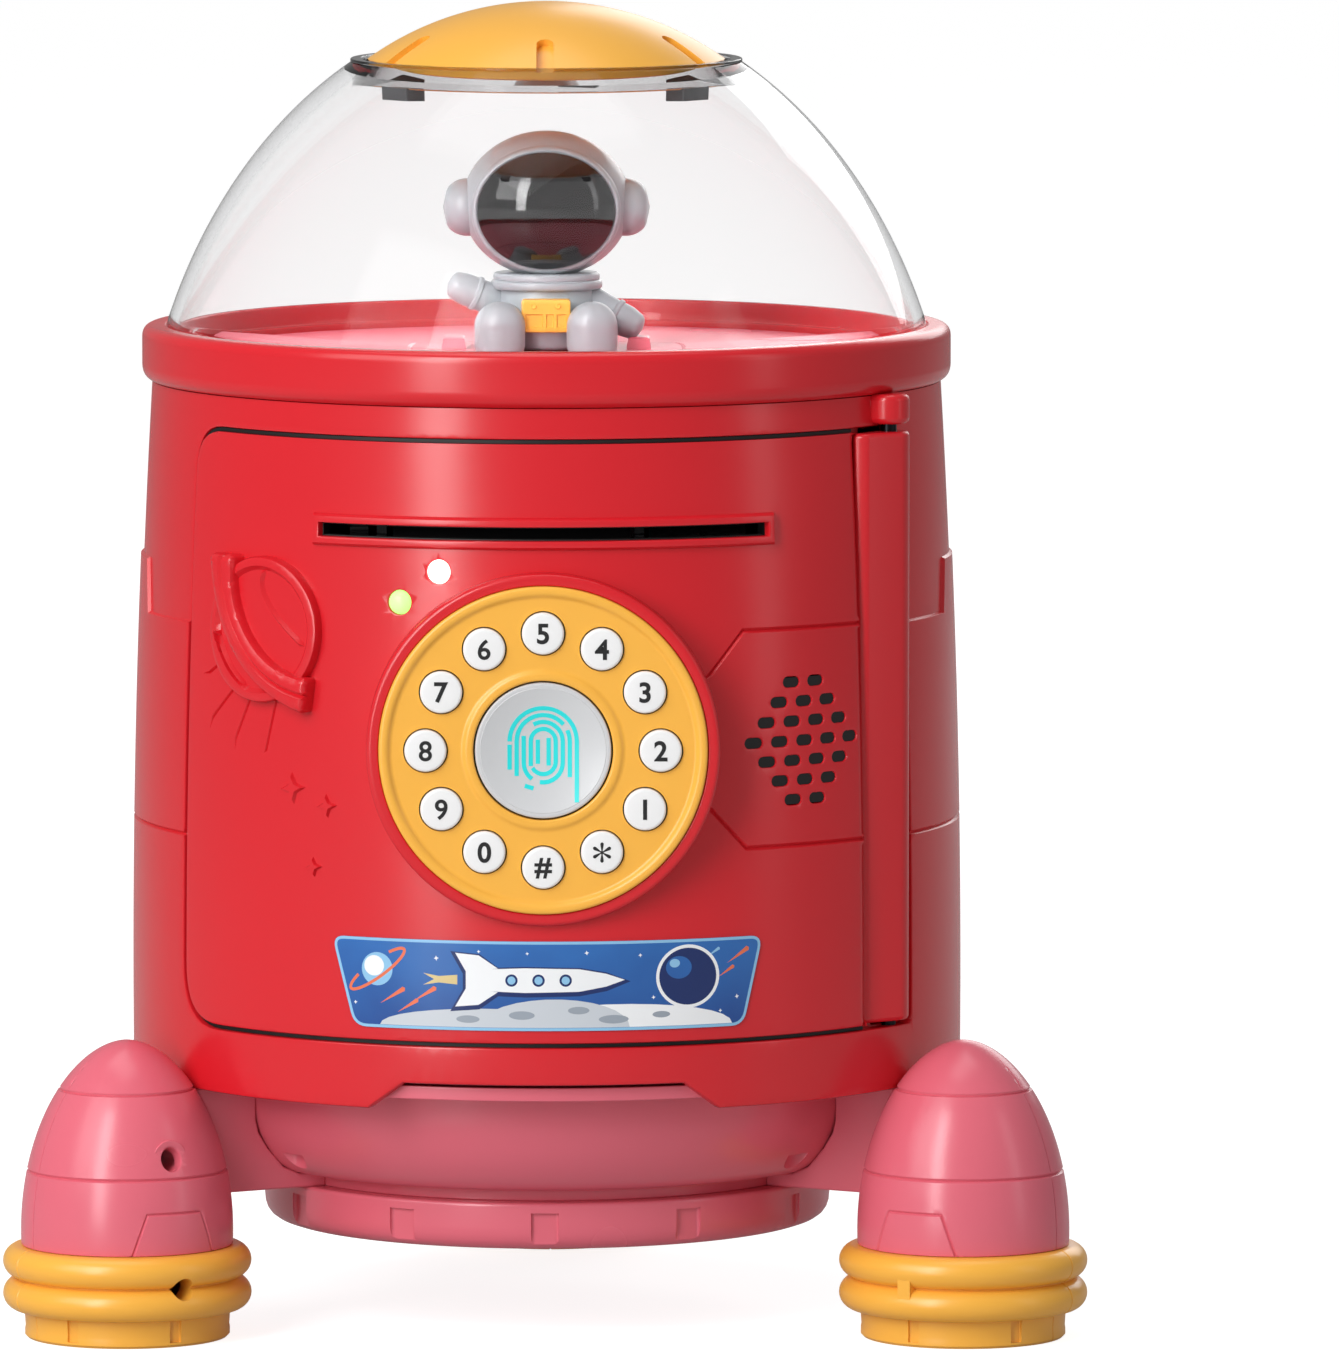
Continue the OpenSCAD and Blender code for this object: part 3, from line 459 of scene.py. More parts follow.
def screw_row(material):
    """A Geometry Nodes tree that stands one pan-head screw on every point it is given."""
    tree = bpy.data.node_groups.new("pan_head_screws", "GeometryNodeTree")
    face = tree.interface
    face.new_socket("Geometry", in_out="INPUT", socket_type="NodeSocketGeometry")
    keys = {name: face.new_socket(name, in_out="INPUT", socket_type="NodeSocketFloat").identifier
            for name in SCREW_SIZES}
    face.new_socket("Geometry", in_out="OUTPUT", socket_type="NodeSocketGeometry")
    given = add(tree, "NodeGroupInput").outputs
    head = add(tree, "GeometryNodeMeshCone", None, Vertices=32, Radius_Top=given["Head Radius"],
               Radius_Bottom=given["Face Radius"], Depth=given["Head Height"])
    recess = add(tree, "GeometryNodeMeshBoolean", {"operation": "DIFFERENCE"}, _0=head.outputs["Mesh"])
    for across, along in (("Recess Width", "Recess Length"), ("Recess Length", "Recess Width")):
        size = add(tree, "ShaderNodeCombineXYZ", None, X=given[across], Y=given[along],
                   Z=given["Recess Depth"])
        bar = add(tree, "GeometryNodeMeshCube", None, Size=size.outputs[0])
        tree.links.new(bar.outputs["Mesh"], recess.inputs[1])
    shank = add(tree, "GeometryNodeMeshCylinder", None, Vertices=24, Radius=given["Shank Radius"],
                Depth=given["Shank Length"])
    half = add(tree, "ShaderNodeMath", {"operation": "MULTIPLY"}, _0=given["Shank Length"], _1=0.5)
    rise = add(tree, "ShaderNodeMath", {"operation": "ADD"}, _0=half.outputs[0],
               _1=given["Head Height"])
    lift = add(tree, "ShaderNodeCombineXYZ", None, Z=rise.outputs[0])
    raised = add(tree, "GeometryNodeTransform", None, Geometry=shank.outputs["Mesh"],
                 Translation=lift.outputs[0])
    screw = add(tree, "GeometryNodeJoinGeometry")
    tree.links.new(recess.outputs["Mesh"], screw.inputs[0])
    tree.links.new(raised.outputs["Geometry"], screw.inputs[0])
    placed = add(tree, "GeometryNodeInstanceOnPoints", None, Points=given["Geometry"],
                 Instance=screw.outputs["Geometry"])
    real = add(tree, "GeometryNodeRealizeInstances", None, Geometry=placed.outputs["Instances"])
    plated = add(tree, "GeometryNodeSetMaterial", None, Geometry=real.outputs["Geometry"],
                 Material=material)
    finished = add(tree, "NodeGroupOutput")
    tree.links.new(plated.outputs["Geometry"], finished.inputs[0])
    return tree, keys


screw_low_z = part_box("base_screws")[0].z / MM
screw_seats = bpy.data.meshes.new("screw_seats")
screw_seats.from_pydata([upright(az, BASE_SCREW_R, screw_low_z).translation * MM
                         for az in BASE_SCREW_AZ], [], [])
row = bpy.data.objects.new("screw_seats", screw_seats)
scene.collection.objects.link(row)
fit = row.modifiers.new("screws", "NODES")
fit.node_group, keys = screw_row(STEEL)
for size_name, key in keys.items():
    fit[key] = SCREW_SIZES[size_name] * MM
driven = evaluated(row)
bpy.data.objects.remove(row)
screws = link("nozzle_screws", driven, STEEL)
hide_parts("base_screws")
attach(screws, "safe")

# ---------- boosters: each is two pink ABS halves held together by a screw in a deep well, and
# stands on a yellow ABS foot with two beads; three fins join them to the bowl ----------
POD_AXIS_R = 90.5
POD_R = 19.9
POD_FULL_Z = 20
POD_TOP_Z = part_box("left_booster_cover")[1].z / MM
FOOT_TOP_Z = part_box("left_foot")[1].z / MM
POD_WALL = 2.2
PODS = {"left": -60, "right": 60, "rear": 180}


def inside(points, loop):
    """Which of the points lie in a closed loop, as an array of booleans."""
    points, loop = np.asarray(points, float), np.asarray(loop, float)
    x, y = points[:, 0], points[:, 1]
    hit = np.zeros(len(points), bool)
    for (x0, y0), (x1, y1) in zip(loop, np.roll(loop, -1, axis=0)):
        crosses = (y0 > y) != (y1 > y)
        if y0 != y1:
            hit ^= crosses & (x < (x1 - x0) * (y - y0) / (y1 - y0) + x0)
    return hit


def dense(loop, step, closed=True):
    """Adds points along a line so that none are more than a step apart."""
    result = []
    for (x0, y0), (x1, y1) in zip(loop, loop[1:] + (loop[:1] if closed else [])):
        parts = max(1, math.ceil(math.hypot(x1 - x0, y1 - y0) / step))
        result += [(x0 + (x1 - x0) * k / parts, y0 + (y1 - y0) * k / parts) for k in range(parts)]
    return result if closed else result + [tuple(loop[-1])]


def grown(loop, distance):
    """A counter-clockwise loop moved outwards by a distance."""
    points = np.array(loop, float)
    back, ahead = points - np.roll(points, 1, 0), np.roll(points, -1, 0) - points
    out_a = np.stack([back[:, 1], -back[:, 0]], 1) / np.linalg.norm(back, axis=1)[:, None]
    out_b = np.stack([ahead[:, 1], -ahead[:, 0]], 1) / np.linalg.norm(ahead, axis=1)[:, None]
    middle = out_a + out_b
    middle /= np.linalg.norm(middle, axis=1)[:, None]
    stretch = 1 / np.clip((middle * out_a).sum(1), 0.5, 1)
    return [tuple(p) for p in points + middle * stretch[:, None] * distance]


def away(points, line):
    """Distance of each point from an open line."""
    points = np.asarray(points, float)
    nearest = np.full(len(points), 1e9)
    for a, b in zip(np.array(line[:-1], float), np.array(line[1:], float)):
        along = np.clip(((points - a) @ (b - a)) / max((b - a) @ (b - a), 1e-9), 0, 1)
        nearest = np.minimum(nearest, np.linalg.norm(points - a - along[:, None] * (b - a), axis=1))
    return nearest


def sheet(name, outline, place, thick, us, vs, material, rims=(), holes=(), reliefs=(),
          grooves=(), lines=(), tints=(), seam=None, step=1.2, rounding=0.4):
    """A moulded wall with crisp detail, drawn flat with u along the wall and v up it; place turns
    (u, v, height) arrays into points. rims are (line, height) that round the outline off, and
    every hole is rounded off by itself. A relief is a list of (loop, height) from the plain wall
    inwards; grooves are (line, half width, depth), raised where the depth is negative; tints are
    (loop, material number); seam tells which rim edges join other pieces."""
    coords, levels, drops, links = [], [], [], []

    def draw(line, level=None, drop=None, closed=False):
        line = dense(line, step, closed)
        start = len(coords)
        coords.extend(line)
        levels.extend([level] * len(line))
        drops.extend([drop] * len(line))
        links.extend((start + i, start + i + 1) for i in range(len(line) - 1))
        if closed:
            links.append((start + len(line) - 1, start))

    for line, height in rims:
        draw(line, drop=height)
    for hole in holes:
        for loop, height in rim_of(hole, 1, rounding):
            draw(loop, drop=height, closed=True)
    for rings in reliefs:
        for loop, height in rings:
            draw(loop, level=height, closed=True)
    draw(outline, closed=True)
    for loop, _ in tints:
        draw(loop, closed=True)
    for line in lines:
        draw(line)
    for line, half, _ in grooves:
        for side in (-1, -0.5, 0, 0.5, 1):
            draw(beside(line, side * half))
    us, vs = np.asarray(us, float), np.asarray(vs, float)
    grid = np.array([(u, v) for v in vs for u in us])
    keep = inside(grid, outline)
    for hole in holes:
        keep &= ~inside(grid, hole)
    for rings in reliefs:
        keep &= ~inside(grid, rings[0][0]) | inside(grid, rings[-1][0])
    tree = kdtree.KDTree(len(coords))
    for i, (u, v) in enumerate(coords):
        tree.insert((u, v, 0), i)
    tree.balance()
    for i in np.nonzero(keep)[0]:
        keep[i] = tree.find((grid[i][0], grid[i][1], 0))[2] > step * 0.55
    grid = grid[keep]
    drawn = len(coords)
    points = [Vector(c) for c in coords] + [Vector(c) for c in grid]
    found, _, triangles, origins, _, _ = geometry.delaunay_2d_cdt(points, links, [], 0, 1e-4, True)
    flat = np.array([tuple(v) for v in found])
    height, drop = np.zeros(len(flat)), np.zeros(len(flat))
    for rings in reliefs:
        height[inside(flat, rings[-1][0])] = rings[-1][1]
    for i, source in enumerate(origins):
        source = [s for s in source if s < drawn]
        if not source and not len(origins[i]):
            _, near, gap = tree.find((flat[i][0], flat[i][1], 0))
            source = [near] if gap < 0.35 else []
        for s in source:
            if levels[s] is not None:
                height[i] = levels[s]
            if drops[s] is not None:
                drop[i] = min(drop[i], drops[s])
    height += drop
    for line, half, depth in grooves:
        gap = np.clip(away(flat, line) / half, 0, 1)
        height -= depth * (1 - gap * gap * (3 - 2 * gap))
    middles = np.array([flat[list(t)].mean(0) for t in triangles])
    keep = inside(middles, outline)
    for hole in holes:
        keep &= ~inside(middles, hole)
    paint = np.zeros(len(triangles), int)
    for loop, number in tints:
        paint[inside(middles, loop)] = number
    faces, numbers = [], []
    for t, use, number in zip(triangles, keep, paint):
        a, b, c = (flat[i] for i in t)
        turn = (b[0] - a[0]) * (c[1] - a[1]) - (b[1] - a[1]) * (c[0] - a[0])
        if use and abs(turn) > 1e-9:
            faces.append(tuple(t) if turn > 0 else tuple(reversed(t)))
            numbers.append(int(number))
    count = len(flat)
    outer = place(flat[:, 0], flat[:, 1], height)
    inner = place(flat[:, 0], flat[:, 1], np.full(count, -float(thick)))
    owned = {(f[i], f[(i + 1) % 3]) for f in faces for i in range(3)}
    walls = [(a, b) for a, b in owned if (b, a) not in owned]
    if seam is not None:
        walls = [(a, b) for a, b in walls if not seam(flat[a], flat[b])]
    solid = faces + [tuple(count + i for i in reversed(f)) for f in faces]
    solid += [(b, a, count + a, count + b) for a, b in walls]
    mesh = bpy.data.meshes.new(name)
    mesh.from_pydata(np.vstack([outer, inner]) * MM, [], solid)
    for one in (material if isinstance(material, (list, tuple)) else [material]):
        mesh.materials.append(one)
    mesh.polygons.foreach_set("material_index", numbers + [0] * (len(solid) - len(faces)))
    tidy(mesh, sliver=0.0000003, outwards=False, loose=True)
    return link(name, mesh, None)


def beside(line, distance):
    """An open line moved to its left by a distance."""
    if abs(distance) < 1e-9:
        return list(line)
    points = np.array(line, float)
    steps = np.diff(points, axis=0)
    left = np.stack([-steps[:, 1], steps[:, 0]], 1) / np.linalg.norm(steps, axis=1)[:, None]
    first, last = np.vstack([left[:1], left]), np.vstack([left, left[-1:]])
    middle = first + last
    middle /= np.linalg.norm(middle, axis=1)[:, None]
    stretch = 1 / np.clip((middle * first).sum(1), 0.5, 1)
    return [tuple(p) for p in points + middle * stretch[:, None] * distance]


def rim_of(loop, outwards, rounding=0.4):
    """Loops that round a rim off: outwards is +1 round a hole and -1 inside an outer edge."""
    return [(grown(loop, outwards * rounding), 0),
            (grown(loop, outwards * rounding * 0.35), -rounding * 0.25), (loop, -rounding)]


def edge_rims(loop, rounding=0.4):
    """The rims that round off the whole outer edge of a piece."""
    return [(line + line[:1], height) for line, height in rim_of(loop, -1, rounding)]


def rounded(line, rounding=0.4):
    """The same for an open stretch of an outline, whose inside lies on its left."""
    return [(beside(line, rounding), 0), (beside(line, rounding * 0.35), -rounding * 0.25),
            (line, -rounding)]


def pod_radius(z):
    return POD_R * np.power(np.clip(1 - ((z - POD_FULL_Z) / (POD_TOP_Z - POD_FULL_Z)) ** 2, 0, 1), 0.55)


# the booster's side measured along its curve, so that detail keeps its size near the nose
POD_Z = FOOT_TOP_Z + (POD_TOP_Z - FOOT_TOP_Z) * (1 - (1 - np.linspace(0, 1, 400)) ** 2)
POD_S = np.concatenate([[0], np.cumsum(np.hypot(np.diff(POD_Z), np.diff(pod_radius(POD_Z))))])
POD_LENGTH = POD_S[-1]


def pod_side(z):
    return float(np.interp(z, POD_Z, POD_S))


def pod_place(azimuth, side):
    """place for one half of a booster: u runs from its inner parting line round to the outer one."""
    turn = math.radians(azimuth)

    def place(u, v, h):
        z = np.interp(v, POD_S, POD_Z)
        r = pod_radius(z)
        slope = (pod_radius(np.clip(z + 0.05, 0, POD_TOP_Z)) - pod_radius(z - 0.05)) / 0.1
        out_r, out_z = 1 / np.hypot(1, slope), -slope / np.hypot(1, slope)
        tip = v > POD_LENGTH - 0.01
        r = np.where(tip, 0, np.maximum(r + h * out_r, 0))
        z = z + np.where(tip, h, h * out_z)
        a = u / POD_R
        x, y = side * r * np.sin(a), r * np.cos(a)
        relief = BARREL_EDGE_R - np.hypot(x, y - POD_AXIS_R)
        y = np.where((z > BARREL_BOTTOM_Z - 0.4) & (relief > 0), y - relief, y)
        y = y - POD_AXIS_R
        return np.stack([x * math.cos(turn) - y * math.sin(turn),
                         x * math.sin(turn) + y * math.cos(turn) + AXIS_Y, z], 1)
    return place


BARREL_BOTTOM_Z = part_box("barrel_shell")[0].z / MM
BARREL_EDGE_R = 79
HALF_TURN = math.pi * POD_R
WAIST, SHOULDER = pod_side(31.5), pod_side(46.8)
PANEL_TOP = pod_side(25.2)
MIDDLE = HALF_TURN / 2


def half_shell(azimuth, which, side):
    """side is +1 for the cover, whose screw is sunk in a well, and -1 for the plain half."""
    outline = [(0, 0), (HALF_TURN, 0), (HALF_TURN, POD_LENGTH), (0, POD_LENGTH)]
    rims = rounded([(0, POD_LENGTH), (0, 0), (HALF_TURN, 0), (HALF_TURN, POD_LENGTH)], 0.25)
    grooves = [([(0, v), (HALF_TURN, v)], 0.4, 0.45) for v in (WAIST, SHOULDER)]
    grooves.append(([(MIDDLE - 8.6, 0.2), (MIDDLE - 5.8, PANEL_TOP), (MIDDLE + 5.8, PANEL_TOP),
                     (MIDDLE + 8.6, 0.2)], 0.35, 0.4))
    holes = [ring(MIDDLE, pod_side(35.2), 2.25)] if side > 0 else []
    columns = np.linspace(0, HALF_TURN, 40)
    rows = np.concatenate([np.linspace(0, POD_LENGTH * 0.8, 26),
                           np.linspace(POD_LENGTH * 0.82, POD_LENGTH, 12)])
    piece = sheet(which, outline, pod_place(azimuth, side), POD_WALL, columns, rows, PINK_ABS,
                  rims, holes, grooves=grooves, step=1.0,
                  seam=lambda a, b: min(a[1], b[1]) > POD_LENGTH - 0.01)
    tidy(piece.data)
    return piece


WELL = softened([(2.3, 0), (2.3, 9), (1.3, 9), (1.3, 10), (3.5, 10), (3.5, 0)], 0.15)
for which, azimuth in PODS.items():
    for side, part in ((1, "cover"), (-1, "shell")):
        node = f"{which}_booster_{part}"
        piece = half_shell(azimuth, f"{which}_pod_{part}", side)
        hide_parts(node)
        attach(piece, "safe")
    well_at = upright(azimuth, POD_AXIS_R, 35.2) @ Matrix.Rotation(math.pi / 2, 4, "Y")
    deep = well_at @ Matrix.Translation((0, 0, 17.2)) @ Matrix.Rotation(math.pi, 4, "X")
    well = turned(f"{which}_pod_screw_well", WELL, PINK_ABS, 40, put=lambda p, m=deep: m @ p)
    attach(well, "safe")

YELLOW_ABS = moulded("glossy_yellow_abs", "#F7B544", 0.3)
BEAD_OUT, BEAD_R, SOLE_R = 23.3, 3.05, 18.9


def bead(z):
    return [(BEAD_OUT - BEAD_R + BEAD_R * math.cos(a), z + BEAD_R * math.sin(a))
            for a in np.linspace(math.radians(78), math.radians(-78), 13)]


FOOT_OUTLINE = ([(17.2, 2.2), (17.2, FOOT_TOP_Z)] + bead(FOOT_TOP_Z - BEAD_R)
                + bead(FOOT_TOP_Z - 3 * BEAD_R)
                + [(SOLE_R + 0.4, 5.2), (SOLE_R + 0.2, 2.2), (SOLE_R + 0.3, 1.6), (SOLE_R + 0.3, 0.5),
                   (SOLE_R - 0.2, 0), (0, 0), (0, 2.2)])
FOOT_NOTCH = softened([(-1.15, -1), (1.15, -1), (1.15, 1), (-1.15, 1)], 0.3)
PAD = [(x, y) for s in (-1, 1) for x, y in
       [(s * (1.9 + 1.3 * math.sin(math.radians(a))), -s * 1.3 * math.cos(math.radians(a)))
        for a in range(0, 181, 20)]]
for which, azimuth in PODS.items():
    spot = upright(azimuth, POD_AXIS_R, 0)
    foot = turned(f"{which}_foot_ring", FOOT_OUTLINE, YELLOW_ABS, 96, seams=(0, 180), seam_w=0.5,
                  seam_d=0.3, put=lambda p, m=spot: m @ p)
    cuts = []
    for i in range(6):
        turn = spot @ Matrix.Rotation(math.radians(30 + 60 * i), 4, "Z")
        cuts.append((*prism(FOOT_NOTCH, 4.6), turn @ Matrix.Translation((0, -SOLE_R - 0.6, 0.9))))
    into = spot @ Matrix.Rotation(math.pi / 2, 4, "Y")
    cuts.append((*round_bar(12, 2.1), into @ Matrix.Translation((-11.3, 0, 16))))
    foot = carve(foot, cuts)
    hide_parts(f"{which}_foot")
    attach(foot, "safe")
    # raised pad across the groove, on the half without the screw
    out = spot @ Matrix.Rotation(-math.pi / 2, 4, "Y") @ Matrix.Translation((11.3, 0, 18.4))
    pad_name = f"{which}_foot_pad"
    pad = link(pad_name, joined(pad_name, [(*prism(softened(PAD, 0.05), 4.6), out)]), YELLOW_ABS)
    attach(pad, "safe")


# ---------- barrel: the safe's red body, one glossy ABS shell with a doorway, a frame that the
# door closes against, a step round its upper half and a coin slot at the back ----------
RED_ABS = moulded("glossy_red_abs", "#D51C27", 0.24)
BARREL_TOP_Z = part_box("barrel_shell")[1].z / MM
BARREL_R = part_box("barrel_shell")[1].x / MM
BARREL_FULL_Z, BARREL_TAPER, WALL = 62, 3.4, 2.5
STEP_IN = 0.6
BELT_Z = 94
DIAL_Z = centre_of("dial_plate").z


def barrel_radius(z):
    return BARREL_R - BARREL_TAPER * ((z - BARREL_FULL_Z) / (BARREL_TOP_Z - BARREL_FULL_Z)) ** 2


def round_barrel(u, v, h):
    """place for a wall of the barrel: u is an arc length at the barrel's fullest radius."""
    r = barrel_radius(v) + h
    return np.stack([r * np.sin(u / BARREL_R), AXIS_Y - r * np.cos(u / BARREL_R), v + 0 * h], 1)


def at(azimuth):
    return math.radians(azimuth) * BARREL_R


BACK_SEAM = (at(-240), at(120))
STEP_LINE = [(at(-240), 143.6), (at(-78), 143.6), (at(-76), 133.6), (at(-59), 133.6), (at(59), 133.6),
             (at(76), 133.6), (at(78), 143.6), (at(120), 143.6)]
STEP_REGION = STEP_LINE + [(at(121), 190), (at(-241), 190)]
DOORWAY = softened([(at(-59.6), 58.2, 11.8), (at(61), 58.2, 0.8), (at(61), 170.8, 0.8),
                    (at(-59.6), 170.8, 8.8)], 1, steps=8)
NOTCH = [(at(-24.6), BARREL_BOTTOM_Z), (at(-19.4), 51.2), (at(19.4), 51.2),
         (at(24.6), BARREL_BOTTOM_Z)]
LOWER_EDGE = [(BACK_SEAM[0], BARREL_BOTTOM_Z)] + NOTCH + [(BACK_SEAM[1], BARREL_BOTTOM_Z)]
COIN_SLOT = softened([(at(-180) - 15.5, 148.3), (at(-180) + 15.5, 148.3), (at(-180) + 15.5, 151.7),
                      (at(-180) - 15.5, 151.7)], 1.69, steps=8)


def stepped_barrel(u, v, h):
    points = np.stack([u, v], 1)
    depth = np.where(inside(points, STEP_REGION), np.clip(away(points, STEP_LINE) / 0.35, 0, 1), 0)
    return round_barrel(u, v, h - STEP_IN * depth)


barrel = sheet(
    "barrel_skin", LOWER_EDGE + [(BACK_SEAM[1], BARREL_TOP_Z), (BACK_SEAM[0], BARREL_TOP_Z)],
    stepped_barrel, WALL, np.arange(BACK_SEAM[0], BACK_SEAM[1], 3), np.arange(48, BARREL_TOP_Z, 4),
    RED_ABS, rounded(LOWER_EDGE, 0.6), [DOORWAY, COIN_SLOT],
    grooves=[([(at(-240), BELT_Z), (at(-59), BELT_Z)], 0.45, 0.5),
             ([(at(61), BELT_Z), (at(120), BELT_Z)], 0.45, 0.5)],
    lines=[STEP_LINE, beside(STEP_LINE, 0.35)],
    seam=lambda a, b: abs(a[0] - b[0]) < 0.01 and (abs(a[0] - BACK_SEAM[0]) < 0.01
                                                   or abs(a[0] - BACK_SEAM[1]) < 0.01))
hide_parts("barrel_shell")
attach(barrel, "safe")

# the frame behind the door's edges, cut away round the hinge column so that it can turn
HINGE_AZ, HINGE_AXIS_R, HINGE_R = 57.4, 76.25, 3.9
COLUMN_WAY = at(HINGE_AZ) - 5.3
FRAME = [(at(-65), 53), (at(68), 53), (at(68), 172.3), (at(-65), 172.3)]
FRAME_WAY = softened([(at(-56), 63, 7.8), (COLUMN_WAY, 63), (COLUMN_WAY, 58.6), (at(62.5), 58.6),
                      (at(62.5), 170.4), (COLUMN_WAY, 170.4), (COLUMN_WAY, 166),
                      (at(-56), 166, 4.8)], 0.5)
door_frame = sheet("door_frame", FRAME, lambda u, v, h: round_barrel(u, v, h - 2.9), 2.2,
                   np.arange(at(-65), at(68), 3), np.arange(53, 172, 4), RED_ABS, holes=[FRAME_WAY])
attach(door_frame, "safe")

# the upper lug of the hinge stands proud of the shell, over the door's hinge column
HINGE_FACE = [(HINGE_R * math.cos(math.radians(a)), HINGE_R * math.sin(math.radians(a)))
              for a in range(0, 111, 10)]
DOOR_FLANK = [(-8.1, 1.05), (-9.0, 0.3), (-9.5, -1.2), (-9.5, -2.4)]
LUG_FLANK = [(HINGE_R * math.cos(math.radians(a)), HINGE_R * math.sin(math.radians(a)))
             for a in range(120, 181, 10)] + [(-HINGE_R, -2.4)]


def column(name, low, high, round_off, flank):
    """A red length of the hinge column, whose flank rises from a valley to the barrel round
    the pin."""
    outline = [(HINGE_R, -2.4), *HINGE_FACE, *flank]
    at_hinge = facing(HINGE_AZ, HINGE_AXIS_R, low) @ Matrix.Rotation(-math.pi / 2, 4, "X")
    flip = Matrix.Scale(-1, 4, (0, 1, 0))
    made = link(name, joined(name, [(*prism(outline, high - low), at_hinge @ flip)]), RED_ABS)
    round_edges(made, round_off, 3, 60)
    return made


lug = column("upper_hinge_lug", 171.2, BARREL_TOP_Z + 0.3, 1.1, LUG_FLANK)
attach(lug, "safe")
# the steel pin is nearly black, which paints the shade in the gap between the lug and the column
finish_node("hinge_pin", plated_steel("nearly_black_steel_painted_shade", "#26272A"))

# ---------- rim ring: a red ABS band glued over the barrel's top, with rounded edges outside and
# the step that the dome sits in inside ----------
RIM_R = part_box("rim_ring")[1].x / MM
RIM_TOP_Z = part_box("rim_ring")[1].z / MM
SEAT_Z, SEAT_R = 183, 72
rim = turned("rim_band", softened([
    (70.2, BARREL_TOP_Z), (70.2, SEAT_Z), (SEAT_R, SEAT_Z), (SEAT_R, RIM_TOP_Z, 0.5),
    (RIM_R, RIM_TOP_Z, 3.6), (RIM_R, BARREL_TOP_Z, 3.6)], 0.3, steps=8), RED_ABS, 192)
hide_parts("rim_ring")
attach(rim, "safe")


# ---------- deck works: a motor under a pink frame drives the turning deck through a white acetal
# pinion, and two lamps on a small board light the figure from below ----------
ACETAL = moulded("white_acetal", "#ECEBE6", 0.35)
BOARD = moulded("green_solder_mask", "#1B6B3F", 0.22)
GREY_MATT = matt_moulded("grey_moulded_chute", "#9B9B9E")
finish_node("deck_frame", PINK_ABS)
finish_node("turntable_motor", STEEL)
finish_node("motor_pinion", ACETAL)
finish_node("light_board", BOARD)
finish_node("coin_chute", GREY_MATT)

# ---------- turning deck: a pink ABS disc with moulded panel lines and two raised blocks, which
# the gear under it turns inside the rim ----------
DECK_R = 68
DECK_TOP_Z = 182
DECK_T = 2.5


def on_deck(u, v, h):
    return np.stack([u, v + AXIS_Y, DECK_TOP_Z + h], 1)


def arc(cx, cy, radius, start, end, count=14):
    return [(cx + radius * math.cos(math.radians(a)), cy + radius * math.sin(math.radians(a)))
            for a in np.linspace(start, end, count)]


deck_lines = []
for side in (-1, 1):
    for line in ([(14, -9), (30, -14), (46, -13), (60, -22)], [(16, 8), (34, 14), (50, 12), (62, 16)],
                 [(22, -34), (40, -30), (52, -34)]):
        deck_lines.append(([(side * x, y) for x, y in line], 0.4, 0.5))
BLOCKS = [[(x - 2, -5), (x + 2, -5), (x + 2, 3), (x - 2, 3)] for x in (-17.5, 17.5)]
DECK_EDGE = ring(0, 0, DECK_R, 200)
deck = sheet("turning_deck", DECK_EDGE, on_deck, DECK_T, np.arange(-68, 68, 4), np.arange(-68, 68, 4),
             PINK_ABS, edge_rims(DECK_EDGE),
             reliefs=[[(grown(block, 0.3), 0), (block, 2.4), (grown(block, -0.4), 2.7)]
                      for block in BLOCKS],
             grooves=deck_lines + [(ring(0, 0, 26, 60) + [(26, 0)], 0.45, 0.5)])
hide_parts("turntable")
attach(deck, "turntable")


def toothed(teeth, tip, root):
    """The outline of a spur gear with slim straight teeth."""
    step = 2 * math.pi / teeth
    outline = []
    for i in range(teeth):
        for r, part in ((root, -0.3), (tip, -0.11), (tip, 0.11), (root, 0.3)):
            outline.append((r * math.cos((i + part) * step), r * math.sin((i + part) * step)))
    return outline


GEAR_LOW_Z = 176.6
points, polygons = prism(toothed(40, 20.75, 18.85), 3)
gear_mesh = bpy.data.meshes.new("deck_gear")
gear_mesh.from_pydata([on_barrel_axis(p + Vector((0, 0, GEAR_LOW_Z))) * MM for p in points],
                      [], polygons)
deck_gear = link("deck_gear", gear_mesh, PINK_ABS)
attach(deck_gear, "turntable")

# ---------- astronaut: the figure is moulded in light grey ABS, in round solid forms that meet in
# crisp lines; its visor is a separate glossy black lens and its chest unit a yellow part ----------
FIGURE_GREY = moulded("light_grey_abs", "#979CA1", 0.3)
GLOSS_BLACK = moulded("polished_black_lens", "#060607", 0.06, wave=0.0, coat=0.5)
HELMET = Vector((0, 0, 209.8))
HELMET_HALF = (16, 14.2, 13.9)


def oval(centre, half, rings, sides):
    """An ellipsoid as vertices and faces, placed from the barrel's axis."""
    vertices, faces = [], []
    for i in range(rings + 1):
        b = math.radians(-90 + 180 * i / rings)
        for j in range(sides):
            a = 2 * math.pi * j / sides
            vertices.append(Vector((centre[0] + half[0] * math.cos(b) * math.cos(a),
                                    centre[1] + half[1] * math.cos(b) * math.sin(a),
                                    centre[2] + half[2] * math.sin(b))))
    for i in range(rings):
        for j in range(sides):
            k = (j + 1) % sides
            faces.append((i * sides + j, i * sides + k, (i + 1) * sides + k, (i + 1) * sides + j))
    faces.append(tuple(reversed(range(sides))))
    return vertices, faces


def figure_part(name, shapes):
    """Joins closed shapes, each (vertices, faces, matrix), into one grey part of the figure."""
    vertices, polygons = [], []
    for points, faces, matrix in shapes:
        start = len(vertices)
        vertices += [on_barrel_axis(matrix @ p) * MM for p in points]
        polygons += [tuple(start + i for i in face) for face in faces]
    mesh = bpy.data.meshes.new(name)
    mesh.from_pydata(vertices, [], polygons)
    tidy(mesh)
    made = link(name, mesh, FIGURE_GREY)
    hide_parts("astronaut")
    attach(made, "turntable")


